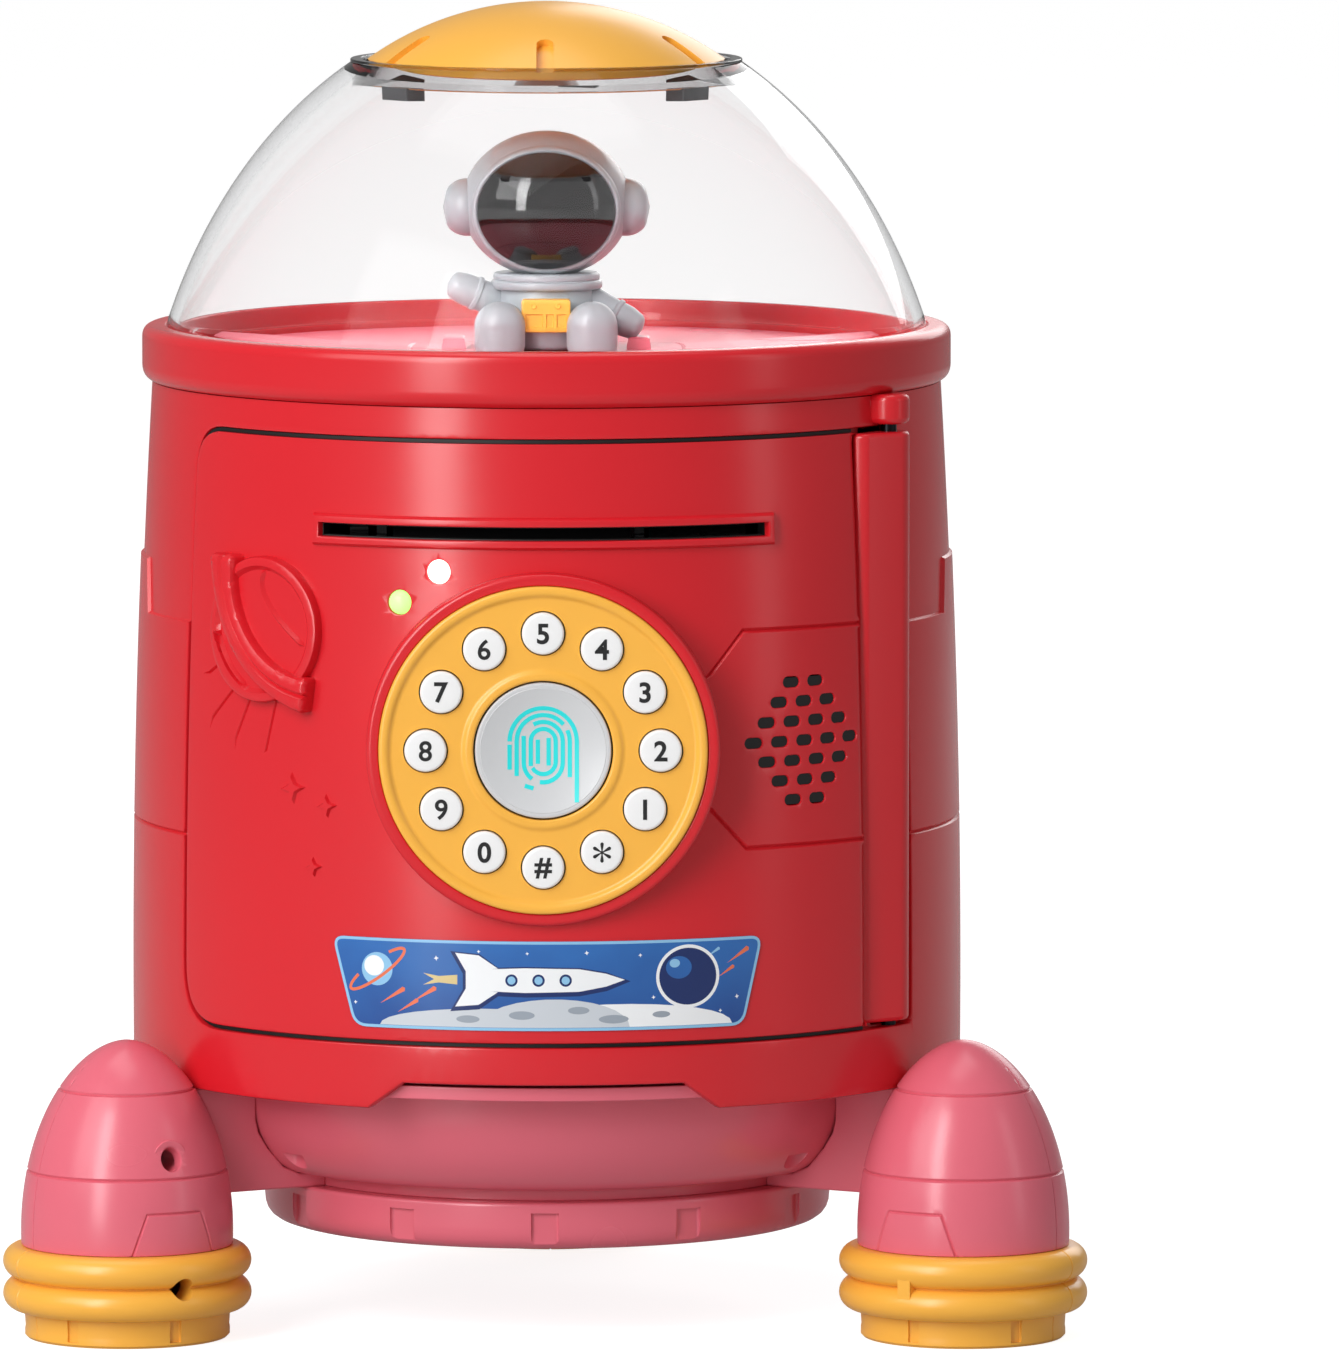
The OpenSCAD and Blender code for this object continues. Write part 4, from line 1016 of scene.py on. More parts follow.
def lathed(outline, sides=48):
    """A solid of revolution about +Z as vertices and faces, for parts that are then tilted."""
    vertices, faces = [], []
    count = len(outline)
    for j in range(sides):
        a = 2 * math.pi * j / sides
        vertices += [Vector((r * math.cos(a), r * math.sin(a), z)) for r, z in outline]
    for j in range(sides):
        k = (j + 1) % sides
        for i in range(count - 1):
            faces.append((j * count + i, k * count + i, k * count + i + 1, j * count + i + 1))
    return vertices, faces


HERE = Matrix.Identity(4)
figure_part("figure_helmet", [(*oval(HELMET, HELMET_HALF, 40, 80), HERE)])


def on_helmet(lift):
    def place(u, v, h):
        x, z = u / HELMET_HALF[0], (v - HELMET.z) / HELMET_HALF[2]
        normal = np.stack([x / HELMET_HALF[0], -np.sqrt(np.clip(1 - x * x - z * z, 0.01, 1))
                           / HELMET_HALF[1], z / HELMET_HALF[2]], 1)
        normal /= np.linalg.norm(normal, axis=1)[:, None]
        deep = HELMET_HALF[1] * np.sqrt(np.clip(1 - x * x - z * z, 0, 1))
        base = np.stack([u, AXIS_Y - deep, v], 1)
        return base + normal * (h + lift)[:, None]
    return place


def ellipse(cx, cy, a, b, count=72):
    return [(cx + a * math.cos(2 * math.pi * i / count), cy + b * math.sin(2 * math.pi * i / count))
            for i in range(count)]


VISOR_EDGE = ellipse(0, 209, 12.7, 10.8)
FRAME_EDGE = ellipse(0, 209, 13.9, 12.0)
visor_grid = (np.arange(-13, 13, 1.3), np.arange(197, 221, 1.3))
visor = sheet("visor_lens", VISOR_EDGE, on_helmet(0.6), 1.2, *visor_grid, GLOSS_BLACK,
              edge_rims(VISOR_EDGE, 0.3))
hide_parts("visor")
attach(visor, "turntable")
visor_frame = sheet("visor_frame", FRAME_EDGE, on_helmet(0.75), 1.5, *visor_grid, FIGURE_GREY,
                    edge_rims(FRAME_EDGE, 0.6),
                    [ellipse(0, 209, 12.8, 10.9)], rounding=0.3)
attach(visor_frame, "turntable")

for side, word in ((-1, "left"), (1, "right")):
    pod = lathed(softened([(0, 0), (5.5, 0), (5.5, 3.2, 2.4), (4.0, 5.6, 2.0), (0, 6.4)],
                          0.3, 6)[1:-1])
    out = Matrix.Translation((side * 13.2, 0, 209.2)) @ Matrix.Rotation(side * math.pi / 2, 4, "Y")
    figure_part(f"figure_{word}_earpiece", [(*pod, out)])
    hip = lathed(softened([(0, -8.6), (4.7, -8.6), (4.7, 1.5, 3.6), (2.2, 4.3, 2.6), (0, 4.5)],
                          0.5, 8)[1:-1])
    foot = lathed([(4.0, 182.2), (4.6, 182.5), (4.8, 183.1)] + arc(0, 187.3, 4.8, 0, 85, 14))
    leg = Matrix.Translation((side * 8.6, -11.2, 186.8)) @ Matrix.Rotation(math.pi / 2, 4, "X")
    knee = Matrix.Translation((side * 8.7, -13.0, 0)) @ Matrix.Scale(0.8, 4, (0, 1, 0))
    figure_part(f"figure_{word}_leg", [(*foot, knee), (*hip, leg)])

torso = softened([(0, 182.1), (9.6, 182.1, 1), (10.8, 186, 3), (9.2, 193.6, 2), (9.0, 196, 1),
                  (0, 196)], 0.3, 6)
collar_rings = [softened([(0, z - 0.9), (r, z - 0.9, 0.8), (r, z + 0.9, 0.8), (0, z + 0.9)], 0.1, 5)
                for r, z in ((10.6, 194.6), (10.1, 196.0))]
figure_part("figure_torso", [(*lathed(part[1:-1], 64), HERE) for part in [torso] + collar_rings])

ARM = softened([(0, -3), (3.3, -3, 2), (3.0, 4.6, 0.3), (3.35, 4.7, 0.3), (3.35, 5.5, 0.3),
                (3.0, 5.6, 0.3), (3.1, 7.4, 2), (2.4, 10.4, 2), (0, 10.9)], 0.2, 5)[1:-1]
for side, word, droop in ((-1, "left", 68), (1, "right", 118)):
    shoulder = Matrix.Translation((side * 8.6, -1.0, 191)) @ Matrix.Rotation(
        math.radians(side * droop), 4, "Y") @ Matrix.Rotation(math.radians(8), 4, "X")
    figure_part(f"figure_{word}_arm", [(*lathed(ARM), shoulder)])

PANEL_FRONT = 12.4
PANEL_EDGE = softened([(-4.65, 186.1), (4.65, 186.1), (4.65, 192.4), (-4.65, 192.4)], 0.7)
PANEL_KEYS = [[(x0, 187), (x1, 187), (x1, 189.6), (x0, 189.6)]
              for x0, x1 in ((-3.9, -0.5), (0, 1.5), (2, 3.8))]
PANEL_KNOBS = [ring(x, 191.1, 0.55, 16) for x in (-2.3, 2.3)]
chest = sheet("chest_unit", PANEL_EDGE,
              lambda u, v, h: np.stack([u, AXIS_Y - PANEL_FRONT - h, v], 1), 3,
              np.arange(-4.6, 4.6, 0.6), np.arange(186, 192.6, 0.6),
              moulded("yellow_figure_abs", "#E3A93F", 0.35), edge_rims(PANEL_EDGE, 0.35),
              reliefs=[[(key, 0), (grown(key, -0.18), -0.35)] for key in PANEL_KEYS]
              + [[(knob, 0), (grown(knob, -0.15), 0.35)] for knob in PANEL_KNOBS], step=0.4)
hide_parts("chest_panel")
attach(chest, "turntable")


# ---------- dome: clear polystyrene, moulded in one piece, polished, and clipped into the rim's
# seat; its mouth at the top takes the collar ----------
def clear_moulding(name, tint, density):
    """Polished clear plastic. Light passes it with little loss, so its shadow is nearly clear; a
    smoked grade absorbs more the longer its path, which darkens its edges."""
    material, tree, out = new_material(name)
    glass = add(tree, "ShaderNodeBsdfPrincipled", Base_Color=(1, 1, 1, 1), Roughness=0.015, IOR=1.2,
                Transmission_Weight=1.0)
    ghost = add(tree, "ShaderNodeBsdfTransparent", Color=(0.97, 0.97, 0.97, 1))
    path = add(tree, "ShaderNodeLightPath")
    mix = add(tree, "ShaderNodeMixShader", _0=path.outputs["Is Shadow Ray"], _1=glass.outputs[0],
              _2=ghost.outputs[0])
    tree.links.new(mix.outputs[0], out.inputs["Surface"])
    smoke = add(tree, "ShaderNodeVolumeAbsorption", Color=linear(tint), Density=density)
    tree.links.new(smoke.outputs[0], out.inputs["Volume"])
    return material


CLEAR = clear_moulding("clear_polystyrene", "#8A8E94", 20)
SMOKED = clear_moulding("smoked_polystyrene", "#3A3C40", 330)
DOME_T = 2.0
DOME_HALF = (77.7, 98.5)
DOME_MID_Z = 150
MOUTH_Z = 236.6
COLLAR_R = 36.8


def dome_radius(z):
    return DOME_HALF[0] * math.sqrt(1 - ((z - DOME_MID_Z) / DOME_HALF[1]) ** 2)


levels = [RIM_TOP_Z + (MOUTH_Z - RIM_TOP_Z) * i / 40 for i in range(41)]
outer = [(SEAT_R - 0.3, SEAT_Z + 0.02)] + [(dome_radius(z), z) for z in levels]
inner = [(max(dome_radius(z) - DOME_T, COLLAR_R + 0.02),
          z - DOME_T * (z - RIM_TOP_Z) / (MOUTH_Z - RIM_TOP_Z)) for z in reversed(levels)]
inner.append((SEAT_R - 0.3 - DOME_T, SEAT_Z + 0.02))
dome = turned("clear_dome", outer + inner, CLEAR, 192)
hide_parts("dome")
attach(dome, "safe")

# ---------- collar: a smoked polystyrene ring pressed into the dome's mouth, with three dark tabs
# that the cap's bayonet turns under ----------
collar = turned("dome_collar_ring", softened([
    (35.1, 232), (35.1, 237.3), (37.1, 237.3, 0.3), (37.1, 236.7, 0.3), (COLLAR_R - 0.05, 236.5),
    (COLLAR_R - 0.05, 232)], 0.25, 5), SMOKED, 160)
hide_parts("dome_collar")
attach(collar, "safe")
# the tabs are matt black, which paints the dark look that internal reflection gives the clear tabs
TAB = [(-3.7, -2.1), (3.7, -2.1), (3.7, 2.4), (-3.7, 2.4)]
for i, az in enumerate((-50, 50, 170)):
    tab_name = f"collar_tab_{i + 1}"
    tab_mesh = joined(tab_name, [(*prism(softened(TAB, 0.5), 2.2), upright(az, 34.5, 230))])
    tab = link(tab_name, tab_mesh, BLACK_MATT_AND_PAINTED_SHADE)
    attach(tab, "safe")

# ---------- cap: a yellow ABS moulding with a shallow crown and a thin edge, six notches in its
# top for the fingers, and a bayonet that locks it in the collar ----------
CAP_R, CROWN_R = 33.8, 58
CAP_TOP_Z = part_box("cap")[1].z / MM
CAP_LOW_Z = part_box("cap")[0].z / MM
CROWN_Z = CAP_TOP_Z - CROWN_R
CAP_WALL = 1.8


def crown_z(r, radius=CROWN_R):
    return CROWN_Z + math.sqrt(radius ** 2 - r ** 2)


SEAM_Z = crown_z(CAP_R)
crown = [(CAP_R * (1 - i / 30), crown_z(CAP_R * (1 - i / 30))) for i in range(31)]
under = [((CAP_R - CAP_WALL) * i / 20, crown_z((CAP_R - CAP_WALL) * i / 20, CROWN_R - CAP_WALL))
         for i in range(21)]
cap_edge = [(CAP_R - CAP_WALL, CAP_LOW_Z), (CAP_R - 1.0, CAP_LOW_Z), (CAP_R - 0.5, CAP_LOW_Z + 0.4),
            (CAP_R - 0.15, SEAM_Z - 0.45), (CAP_R - 0.55, SEAM_Z - 0.3), (CAP_R - 0.5, SEAM_Z - 0.1)]
cap = turned("yellow_cap", crown + under + cap_edge, YELLOW_ABS, 180)
SCOOP = [(-1.6, -9), (1.6, -9)] + arc(0, 4.0, 1.6, 0, 180, 9)
SCOOP_R, SCOOP_SLOPE = 30.4, math.radians(32)
into_crown = Matrix.Rotation(SCOOP_SLOPE, 4, "X") @ Matrix.Translation((0, 0, -1.7))
cap = carve(cap, [(*prism(SCOOP, 6), upright(60 * i, SCOOP_R, crown_z(SCOOP_R)) @ into_crown)
                  for i in range(6)])
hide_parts("cap")
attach(cap, "cap")


# ---------- door: one red ABS moulding with the banknote slot, the speaker's grille, raised and
# engraved decoration, the dial's ring and the hinge column that turns on the steel pin ----------
DOOR_LOW_Z, DOOR_TOP_Z = 59, 170
DOOR_SKIN_AZ = (-59, 50.2)
SLOT_AZ, SLOT_Z, SLOT_H = 32.5, 153.5, 2.5
GRILLE_AZ = 38.4
DIAL_FACE_R = AXIS_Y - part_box("dial_plate")[0].y / MM - 0.8
DIAL_R, DIAL_RING_R = 30.4, 32.7
LAMPS = {"white": (at(-14.6), 146.3), "green": (at(-20.2), 140.5)}
LAMP_R = 2.3

low_left, low_right = (at(DOOR_SKIN_AZ[0]), DOOR_LOW_Z, 11), (at(DOOR_SKIN_AZ[1]), DOOR_LOW_Z, 0.5)
top_right, top_left = (at(DOOR_SKIN_AZ[1]), DOOR_TOP_Z, 0.5), (at(DOOR_SKIN_AZ[0]), DOOR_TOP_Z, 8)
DOOR_EDGE = softened([low_left, low_right, top_right, top_left], 1, steps=10)
free_edge = DOOR_EDGE[34:] + DOOR_EDGE[:12]
hinge_side = DOOR_EDGE[16:28]


def oblong(cx, cy, length, width, count=7):
    """A loop with round ends, for slots."""
    reach = (length - width) / 2
    return (arc(cx + reach, cy, width / 2, -90, 90, count)
            + arc(cx - reach, cy, width / 2, 90, 270, count))


def four_point_star(cx, cy, size):
    return [(cx + r * math.cos(a), cy + r * math.sin(a)) for r, a in
            [(size if k % 2 == 0 else size * 0.42, math.pi * k / 4 + 0.1) for k in range(8)]]


slot = [(at(-SLOT_AZ), SLOT_Z - SLOT_H / 2), (at(SLOT_AZ), SLOT_Z - SLOT_H / 2),
        (at(SLOT_AZ), SLOT_Z + SLOT_H / 2), (at(-SLOT_AZ), SLOT_Z + SLOT_H / 2)]
grille = [oblong(at(GRILLE_AZ) + (i - (count - 1) / 2) * 5.8, DIAL_Z + (3 - row) * 3.65, 3.8, 2)
          for row, count in enumerate((2, 3, 4, 5, 4, 3, 2)) for i in range(count)]
dial_way = [(BARREL_R * math.asin(x / 78), DIAL_Z + z) for x, z in ring(0, 0, 31.4, 90)]
slot_frame = [(grown(slot, 1.75), 0), (grown(slot, 1.6), 0.6), (grown(slot, 1.2), 1.15),
              (grown(slot, 0.75), 1.2)]
stars = [[(four_point_star(u, v, size), 0), (four_point_star(u, v, size * 0.7), 0.7)]
         for u, v, size in ((-50.2, 105.0, 3.0), (-42.4, 102.1, 2.3), (-45.2, 90.6, 1.9))]
edge_u = at(DOOR_SKIN_AZ[1]) - 1.0
engraved = [([(edge_u, 134.6), (39.2, 134.8), (32.2, 127.0)], 0.5, 0.55),
            ([(edge_u, 94.3), (39.4, 94.4), (32.2, 101.8)], 0.5, 0.55)]
engraved += [(line, 0.32, 0.5) for line in (
    [(-73.6, 125.0), (-71.4, 126.3)], [(-72.3, 116.7), (-66.3, 122.2)],
    [(-65.2, 113.3), (-61.5, 120.7)], [(-57.0, 111.6), (-54.7, 120.7)])]
# the door's edge beside the hinge falls away in a valley to the column
valley = [(beside(hinge_side, inwards), -depth) for inwards, depth in
          ((2.4, 0), (1.7, 0.12), (1.1, 0.4), (0.6, 0.85), (0.2, 1.5), (0, 2.2))]
door = sheet("door_skin", DOOR_EDGE, round_barrel, WALL, np.arange(at(-59), at(50), 2.6),
             np.arange(60, 170, 3.4), RED_ABS, rounded(free_edge, 0.5) + valley,
             [slot, dial_way] + grille + [ring(u, v, LAMP_R, 32) for u, v in LAMPS.values()],
             [slot_frame] + stars, engraved, rounding=0.3)
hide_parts("door_panel")
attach(door, "door")
hinge_column = column("door_hinge_column", DOOR_LOW_Z + 0.2, DOOR_TOP_Z - 0.2, 0.8, DOOR_FLANK)
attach(hinge_column, "door")

on_dial = facing(0, DIAL_FACE_R, DIAL_Z)


def dialled(point):
    return on_dial @ point


dial_ring = turned("dial_ring", softened([
    (DIAL_R + 0.05, -12), (DIAL_R + 0.05, 0, 0.4), (DIAL_RING_R, 0, 1.2), (DIAL_RING_R, -12)], 0.2, 6),
    RED_ABS, 160, put=dialled)
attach(dial_ring, "door")

# matt black sheets that paint shade: one close under the grille's face paints the shade in its holes,
# one in the slot paints the shade inside it, and one in the gap round the door's free edges paints the
# shade in that gap
SHADE_BLACK = matt_moulded("painted_shade_black", "#040405", 2200)
slot_shade = sheet("slot_painted_shade", grown(slot, -0.03), lambda u, v, h: round_barrel(u, v, h - 0.3), 2.1,
               np.arange(at(-SLOT_AZ), at(SLOT_AZ), 3), [SLOT_Z], SHADE_BLACK,
               holes=[grown(slot, -0.22)], rounding=0.02)
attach(slot_shade, "door")
gap_line = DOOR_EDGE[31:] + DOOR_EDGE[:13]
strip = sheet("door_gap_painted_shade", (beside(gap_line, -0.07) + beside(gap_line, -0.72)[::-1])[::-1],
              lambda u, v, h: round_barrel(u, v, h - 1.0), 1.8, [0], [SLOT_Z], SHADE_BLACK)
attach(strip, "safe")
grille_shade_edge = [(at(GRILLE_AZ) + 14.6 * math.cos(math.radians(a)),
               DIAL_Z + 13.6 * math.sin(math.radians(a))) for a in range(0, 360, 60)]
grille_shade = sheet("grille_painted_shade", grille_shade_edge, lambda u, v, h: round_barrel(u, v, h - 0.3), 0.3,
              np.arange(at(GRILLE_AZ) - 15, at(GRILLE_AZ) + 15, 3),
              np.arange(DIAL_Z - 14, DIAL_Z + 14, 3), SHADE_BLACK)
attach(grille_shade, "door")

# ---------- behind the door: a matt black tray carries the boards, the speaker, the lock and the
# banknote feed, whose two rubber-covered rollers are geared together ----------
for name in ("door_liner", "speaker", "feed_roller_lower", "feed_roller_upper"):
    finish_node(name, BLACK_MATT_AND_PAINTED_SHADE)
for name in ("lock_solenoid", "feed_motor", "latch_bolt"):
    finish_node(name, STEEL)
finish_node("keypad_board", BOARD)


# ---------- dial plate: a glossy yellow ABS ring with a raised lip outside and inside, bored for
# twelve keys and glued into the door's red ring ----------
dial = turned("dial_face", softened([
    (12.9, -2.2), (12.9, 0.5, 0.5), (14.3, 0.5, 0.6), (15.0, 0, 0.4), (28.2, 0, 0.4), (28.9, 0.8, 0.6),
    (DIAL_R, 0.8, 0.8), (DIAL_R, -2.2)], 0.2, 5), YELLOW_ABS, 160, put=dialled)
KEY_RING_R, KEY_R = 21.7, 3.9
KEY_HOLE_R = 4.15
seats = [Vector((KEY_RING_R * math.sin(math.radians(30 * i)),
                 KEY_RING_R * math.cos(math.radians(30 * i)), 0)) for i in range(12)]
through = Vector((0, 0, -4))
dial = carve(dial, [(*round_bar(6, KEY_HOLE_R, 48), on_dial @ Matrix.Translation(seat + through))
                    for seat in seats])
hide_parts("dial_plate")
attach(dial, "door")

# ---------- keys: twelve satin white ABS caps on sprung stems, a little domed, each with its
# figure pad-printed in black ink ----------
WHITE_CAP = moulded("satin_white_abs", "#F0F0F0", 0.36)
INK = moulded("black_printing_ink", "#141416", 0.4, wave=0.05)
KEY_ORDER = ["5", "4", "3", "2", "1", "star", "hash", "0", "9", "8", "7", "6"]
KEY_FRONT = 1.0
KEY_OUTLINE = softened([(0, KEY_FRONT + 0.12), (2.6, KEY_FRONT + 0.06, 1),
                        (KEY_R, KEY_FRONT - 0.05, 0.55), (KEY_R, -5.2, 0.2), (0, -5.2)], 0.05, 5)


FIGURE_H, INK_T = 3.7, 0.05
CAPITAL_H = 0.72    # height of a capital in Blender's own lettering of size 1
STAR_SCALE = 1.6    # its star is small, as a superscript, and is printed larger


def printed(name, word, put):
    """A printed figure: Blender's own lettering, made a thin mesh before it is placed."""
    curve = bpy.data.curves.new(name, "FONT")
    curve.body = word
    curve.size = 1
    curve.offset = {"6": 0.016, "8": 0.016, "9": 0.016, "*": 0.004}.get(word, 0.024)
    curve.align_x = "CENTER"
    letter = bpy.data.objects.new(name, curve)
    scene.collection.objects.link(letter)
    mesh = evaluated(letter)
    bpy.data.objects.remove(letter)
    work = bmesh.new()
    work.from_mesh(mesh)
    bmesh.ops.remove_doubles(work, verts=work.verts, dist=0.0005)
    ys = [v.co.y for v in work.verts]
    xs = [v.co.x for v in work.verts]
    scale = FIGURE_H / CAPITAL_H * (STAR_SCALE if word == "*" else 1)
    middle = Vector(((min(xs) + max(xs)) / 2, (min(ys) + max(ys)) / 2, 0))
    made = bmesh.ops.extrude_face_region(work, geom=work.faces[:])
    for v in made["geom"]:
        if isinstance(v, bmesh.types.BMVert):
            v.co.z += INK_T / scale
    for v in work.verts:
        v.co = put @ ((v.co - middle) * scale) * MM
    bmesh.ops.recalc_face_normals(work, faces=work.faces)
    work.to_mesh(mesh)
    work.free()
    mesh.name = name
    return link(name, mesh, INK)


for seat, word in zip(seats, KEY_ORDER):
    key_at = on_dial @ Matrix.Translation(seat)
    key = turned(f"key_{word}_cap", KEY_OUTLINE, WHITE_CAP, 64, put=lambda p, m=key_at: m @ p)
    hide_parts(f"key_{word}")
    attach(key, f"key_{word}")
    mark = printed(f"key_{word}_mark", {"star": "*", "hash": "#"}.get(word, word),
                   key_at @ Matrix.Translation((0, 0, KEY_FRONT + 0.1)))
    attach(mark, f"key_{word}")

# ---------- fingertip button: a satin light grey ABS cap with a shallow dish for a finger, and a
# pattern of ridges printed in the dish in translucent cyan over a lamp ----------
BUTTON_GREY = moulded("satin_grey_abs", "#CFD0D2", 0.34)
FINGER_R, DISH_R, DISH_SPHERE = 12.6, 11.6, 40


def dish_z(r):
    return -1.5 + DISH_SPHERE - math.sqrt(DISH_SPHERE ** 2 - r ** 2)


dish = [(DISH_R * i / 24, dish_z(DISH_R * i / 24)) for i in range(25)]
button = turned("fingertip_button", dish + softened([
    (DISH_R + 0.2, 0.2), (FINGER_R, 0.2, 0.4), (FINGER_R, -5.2), (0, -5.2)], 0.2)[1:-1] + [(0, -5.2)],
    BUTTON_GREY, 128, put=dialled)
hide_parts("fingerprint_button")
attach(button, "fingerprint_button")


def lit_print(name, colour, strength):
    """Translucent printing with a lamp behind it: its colour glows a little of itself."""
    material, tree, out = new_material(name)
    shader = add(tree, "ShaderNodeBsdfPrincipled", Base_Color=linear(colour), Roughness=0.35,
                 Emission_Color=linear(colour), Emission_Strength=strength)
    tree.links.new(shader.outputs[0], out.inputs[0])
    return material


CYAN = lit_print("lit_cyan_print", "#22CFCF", 0.18)
RIDGE_W = 0.8


def ridge(line):
    """A printed line of even width on the dish, as vertices and faces on the dial's axis."""
    line = dense(line, 0.5, False)
    left, right = beside(line, RIDGE_W / 2), beside(line, -RIDGE_W / 2)
    vertices = []
    for lift in (0.05, -0.05):
        for x, y in left + right:
            vertices.append(Vector((x, y, dish_z(math.hypot(x, y)) + lift)))
    count = len(line)
    faces = []
    for i in range(count - 1):
        faces.append((i, count + i, count + i + 1, i + 1))
        faces.append((2 * count + i + 1, 3 * count + i + 1, 3 * count + i, 2 * count + i))
        faces.append((i, i + 1, 2 * count + i + 1, 2 * count + i))
        faces.append((count + i + 1, count + i, 3 * count + i, 3 * count + i + 1))
    faces.append((0, 2 * count, 3 * count, count))
    faces.append((count - 1, 2 * count - 1, 4 * count - 1, 3 * count - 1))
    return vertices, faces


ridges = [
    arc(0, 1.6, 6.2, 180, 90, 12) + arc(0, 1.6, 6.2, 80, 0, 12) + [(6.2, -8.6)],
    [(-6.2, 1.0), (-6.2, -3.6)],
    [(-4.9, -4.8), (-4.9, 1.6)] + arc(0, 1.6, 4.9, 170, 40, 14),
    arc(0, 1.6, 4.9, 25, 0, 4) + [(4.9, -5.0)],
    arc(0, 1.6, 3.6, 120, 0, 14) + [(3.6, -2.4)] + arc(0, -2.4, 3.6, -10, -100, 8),
    [(-3.6, 2.6), (-3.6, -2.4)] + arc(0, -2.4, 3.6, 190, 235, 6),
    ([(-2.3, -3.0), (-2.3, 1.6)] + arc(0, 1.6, 2.3, 170, 0, 12) + [(2.3, -2.0)]
     + arc(0, -2.2, 2.3, -10, -150, 10)),
    [(-1.0, 1.9), (-1.0, -2.6)], [(1.0, 2.2), (1.0, -2.9)], [(-3.4, -6.6), (-1.8, -7.1)],
    [(6.2, -8.6), (6.2, -9.6)]]
print_mesh = joined("fingertip_print", [(*ridge(line), on_dial) for line in ridges])
fingertip = link("fingertip_print", print_mesh, CYAN)
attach(fingertip, "fingerprint_button")

# ---------- lamps: two translucent light-pipe lenses pushed through the door from behind, one
# white and one green, both lit ----------
LENS_WHITE = lit_print("lit_white_lens", "#FFFDF4", 1.6)
LENS_GREEN = lit_print("lit_green_lens", "#9AF07A", 1.5)
LENS = softened([(0, 1.3), (1.2, 1.15, 1), (LAMP_R - 0.05, 0, 0.8), (LAMP_R - 0.05, -2.5),
                 (0, -2.5)], 0.1, 6)
for (word, (u, v)), material in zip(LAMPS.items(), (LENS_WHITE, LENS_GREEN)):
    lens_at = facing(math.degrees(u / BARREL_R), barrel_radius(v) - 0.2, v)
    lens = turned(f"{word}_lamp_lens", LENS, material, 48, put=lambda p, m=lens_at: m @ p)
    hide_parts("led_lenses")
    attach(lens, "door")

# ---------- planet handle: a raised planet with a curved bar for its ring, to pull the door by,
# moulded in the door's red ABS and glued on ----------
PLANET = (at(-42), 134.2)
PLANET_R = 13.6
disc_edge = ring(*PLANET, PLANET_R, 80)


def local(points):
    return [(PLANET[0] + x, PLANET[1] + y) for x, y in points]


def bent(a, b, c, count=14):
    """A smooth curve from a to c that passes through b."""
    middle = [2 * b[i] - (a[i] + c[i]) / 2 for i in (0, 1)]
    return [tuple(a[i] * (1 - t) ** 2 + 2 * middle[i] * t * (1 - t) + c[i] * t * t for i in (0, 1))
            for t in np.linspace(0, 1, count)]


planet = sheet("handle_planet", disc_edge, lambda u, v, h: round_barrel(u, v, h + 2.2), 2.3,
               np.arange(PLANET[0] - 14, PLANET[0] + 14, 1.2),
               np.arange(PLANET[1] - 14, PLANET[1] + 14, 1.2), RED_ABS, edge_rims(disc_edge, 0.8),
               reliefs=[[(ring(*PLANET, PLANET_R - 1.7, 80), 0),
                         (ring(*PLANET, PLANET_R - 2.5, 80), -0.9)]],
               grooves=[(local(bent((0.5, 10.4), (1.6, 5.2), (9.8, -2.1))), 0.55, -0.7),
                        (local(bent((-11.4, -1.1), (-8.6, -6.3), (-4.2, -10.2))), 0.55, -0.7)])
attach(planet, "door")

BAR_CENTRE, BAR_R = (15.5, 13.1), 25.1
BAR_TURN = (179, 262)
BAR_H = 3.4


def bar_arc(offset, start=BAR_TURN[0], end=BAR_TURN[1], count=36):
    return [(BAR_CENTRE[0] + (BAR_R + offset(t)) * math.cos(math.radians(a)),
             BAR_CENTRE[1] + (BAR_R + offset(t)) * math.sin(math.radians(a)))
            for t, a in zip(np.linspace(0, 1, count), np.linspace(start, end, count))]


def flare(t):
    """Half width of the bar, which widens towards its two ends."""
    return 2.6 + 0.9 * abs(2 * t - 1) ** 3


sides = [bar_arc(flare, count=14), bar_arc(lambda t: -flare(t), count=14)[::-1]]
bar_edge = local(softened([(*p, 1.3 if i in (0, len(side) - 1) else 0.01) for side in sides
                           for i, p in enumerate(side)], 0.01, 6))
bar = sheet("handle_ring_bar", bar_edge, lambda u, v, h: round_barrel(u, v, h + BAR_H), BAR_H + 0.2,
            np.arange(PLANET[0] - 18, PLANET[0] + 18, 1.0),
            np.arange(PLANET[1] - 16, PLANET[1] + 20, 1.0), RED_ABS, edge_rims(bar_edge, 1.3),
            grooves=[(local(bar_arc(lambda t: 0, BAR_TURN[0] + 1, BAR_TURN[1] - 1)), 0.6, 0.7)],
            step=0.8)
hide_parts("planet_handle")
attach(bar, "door")


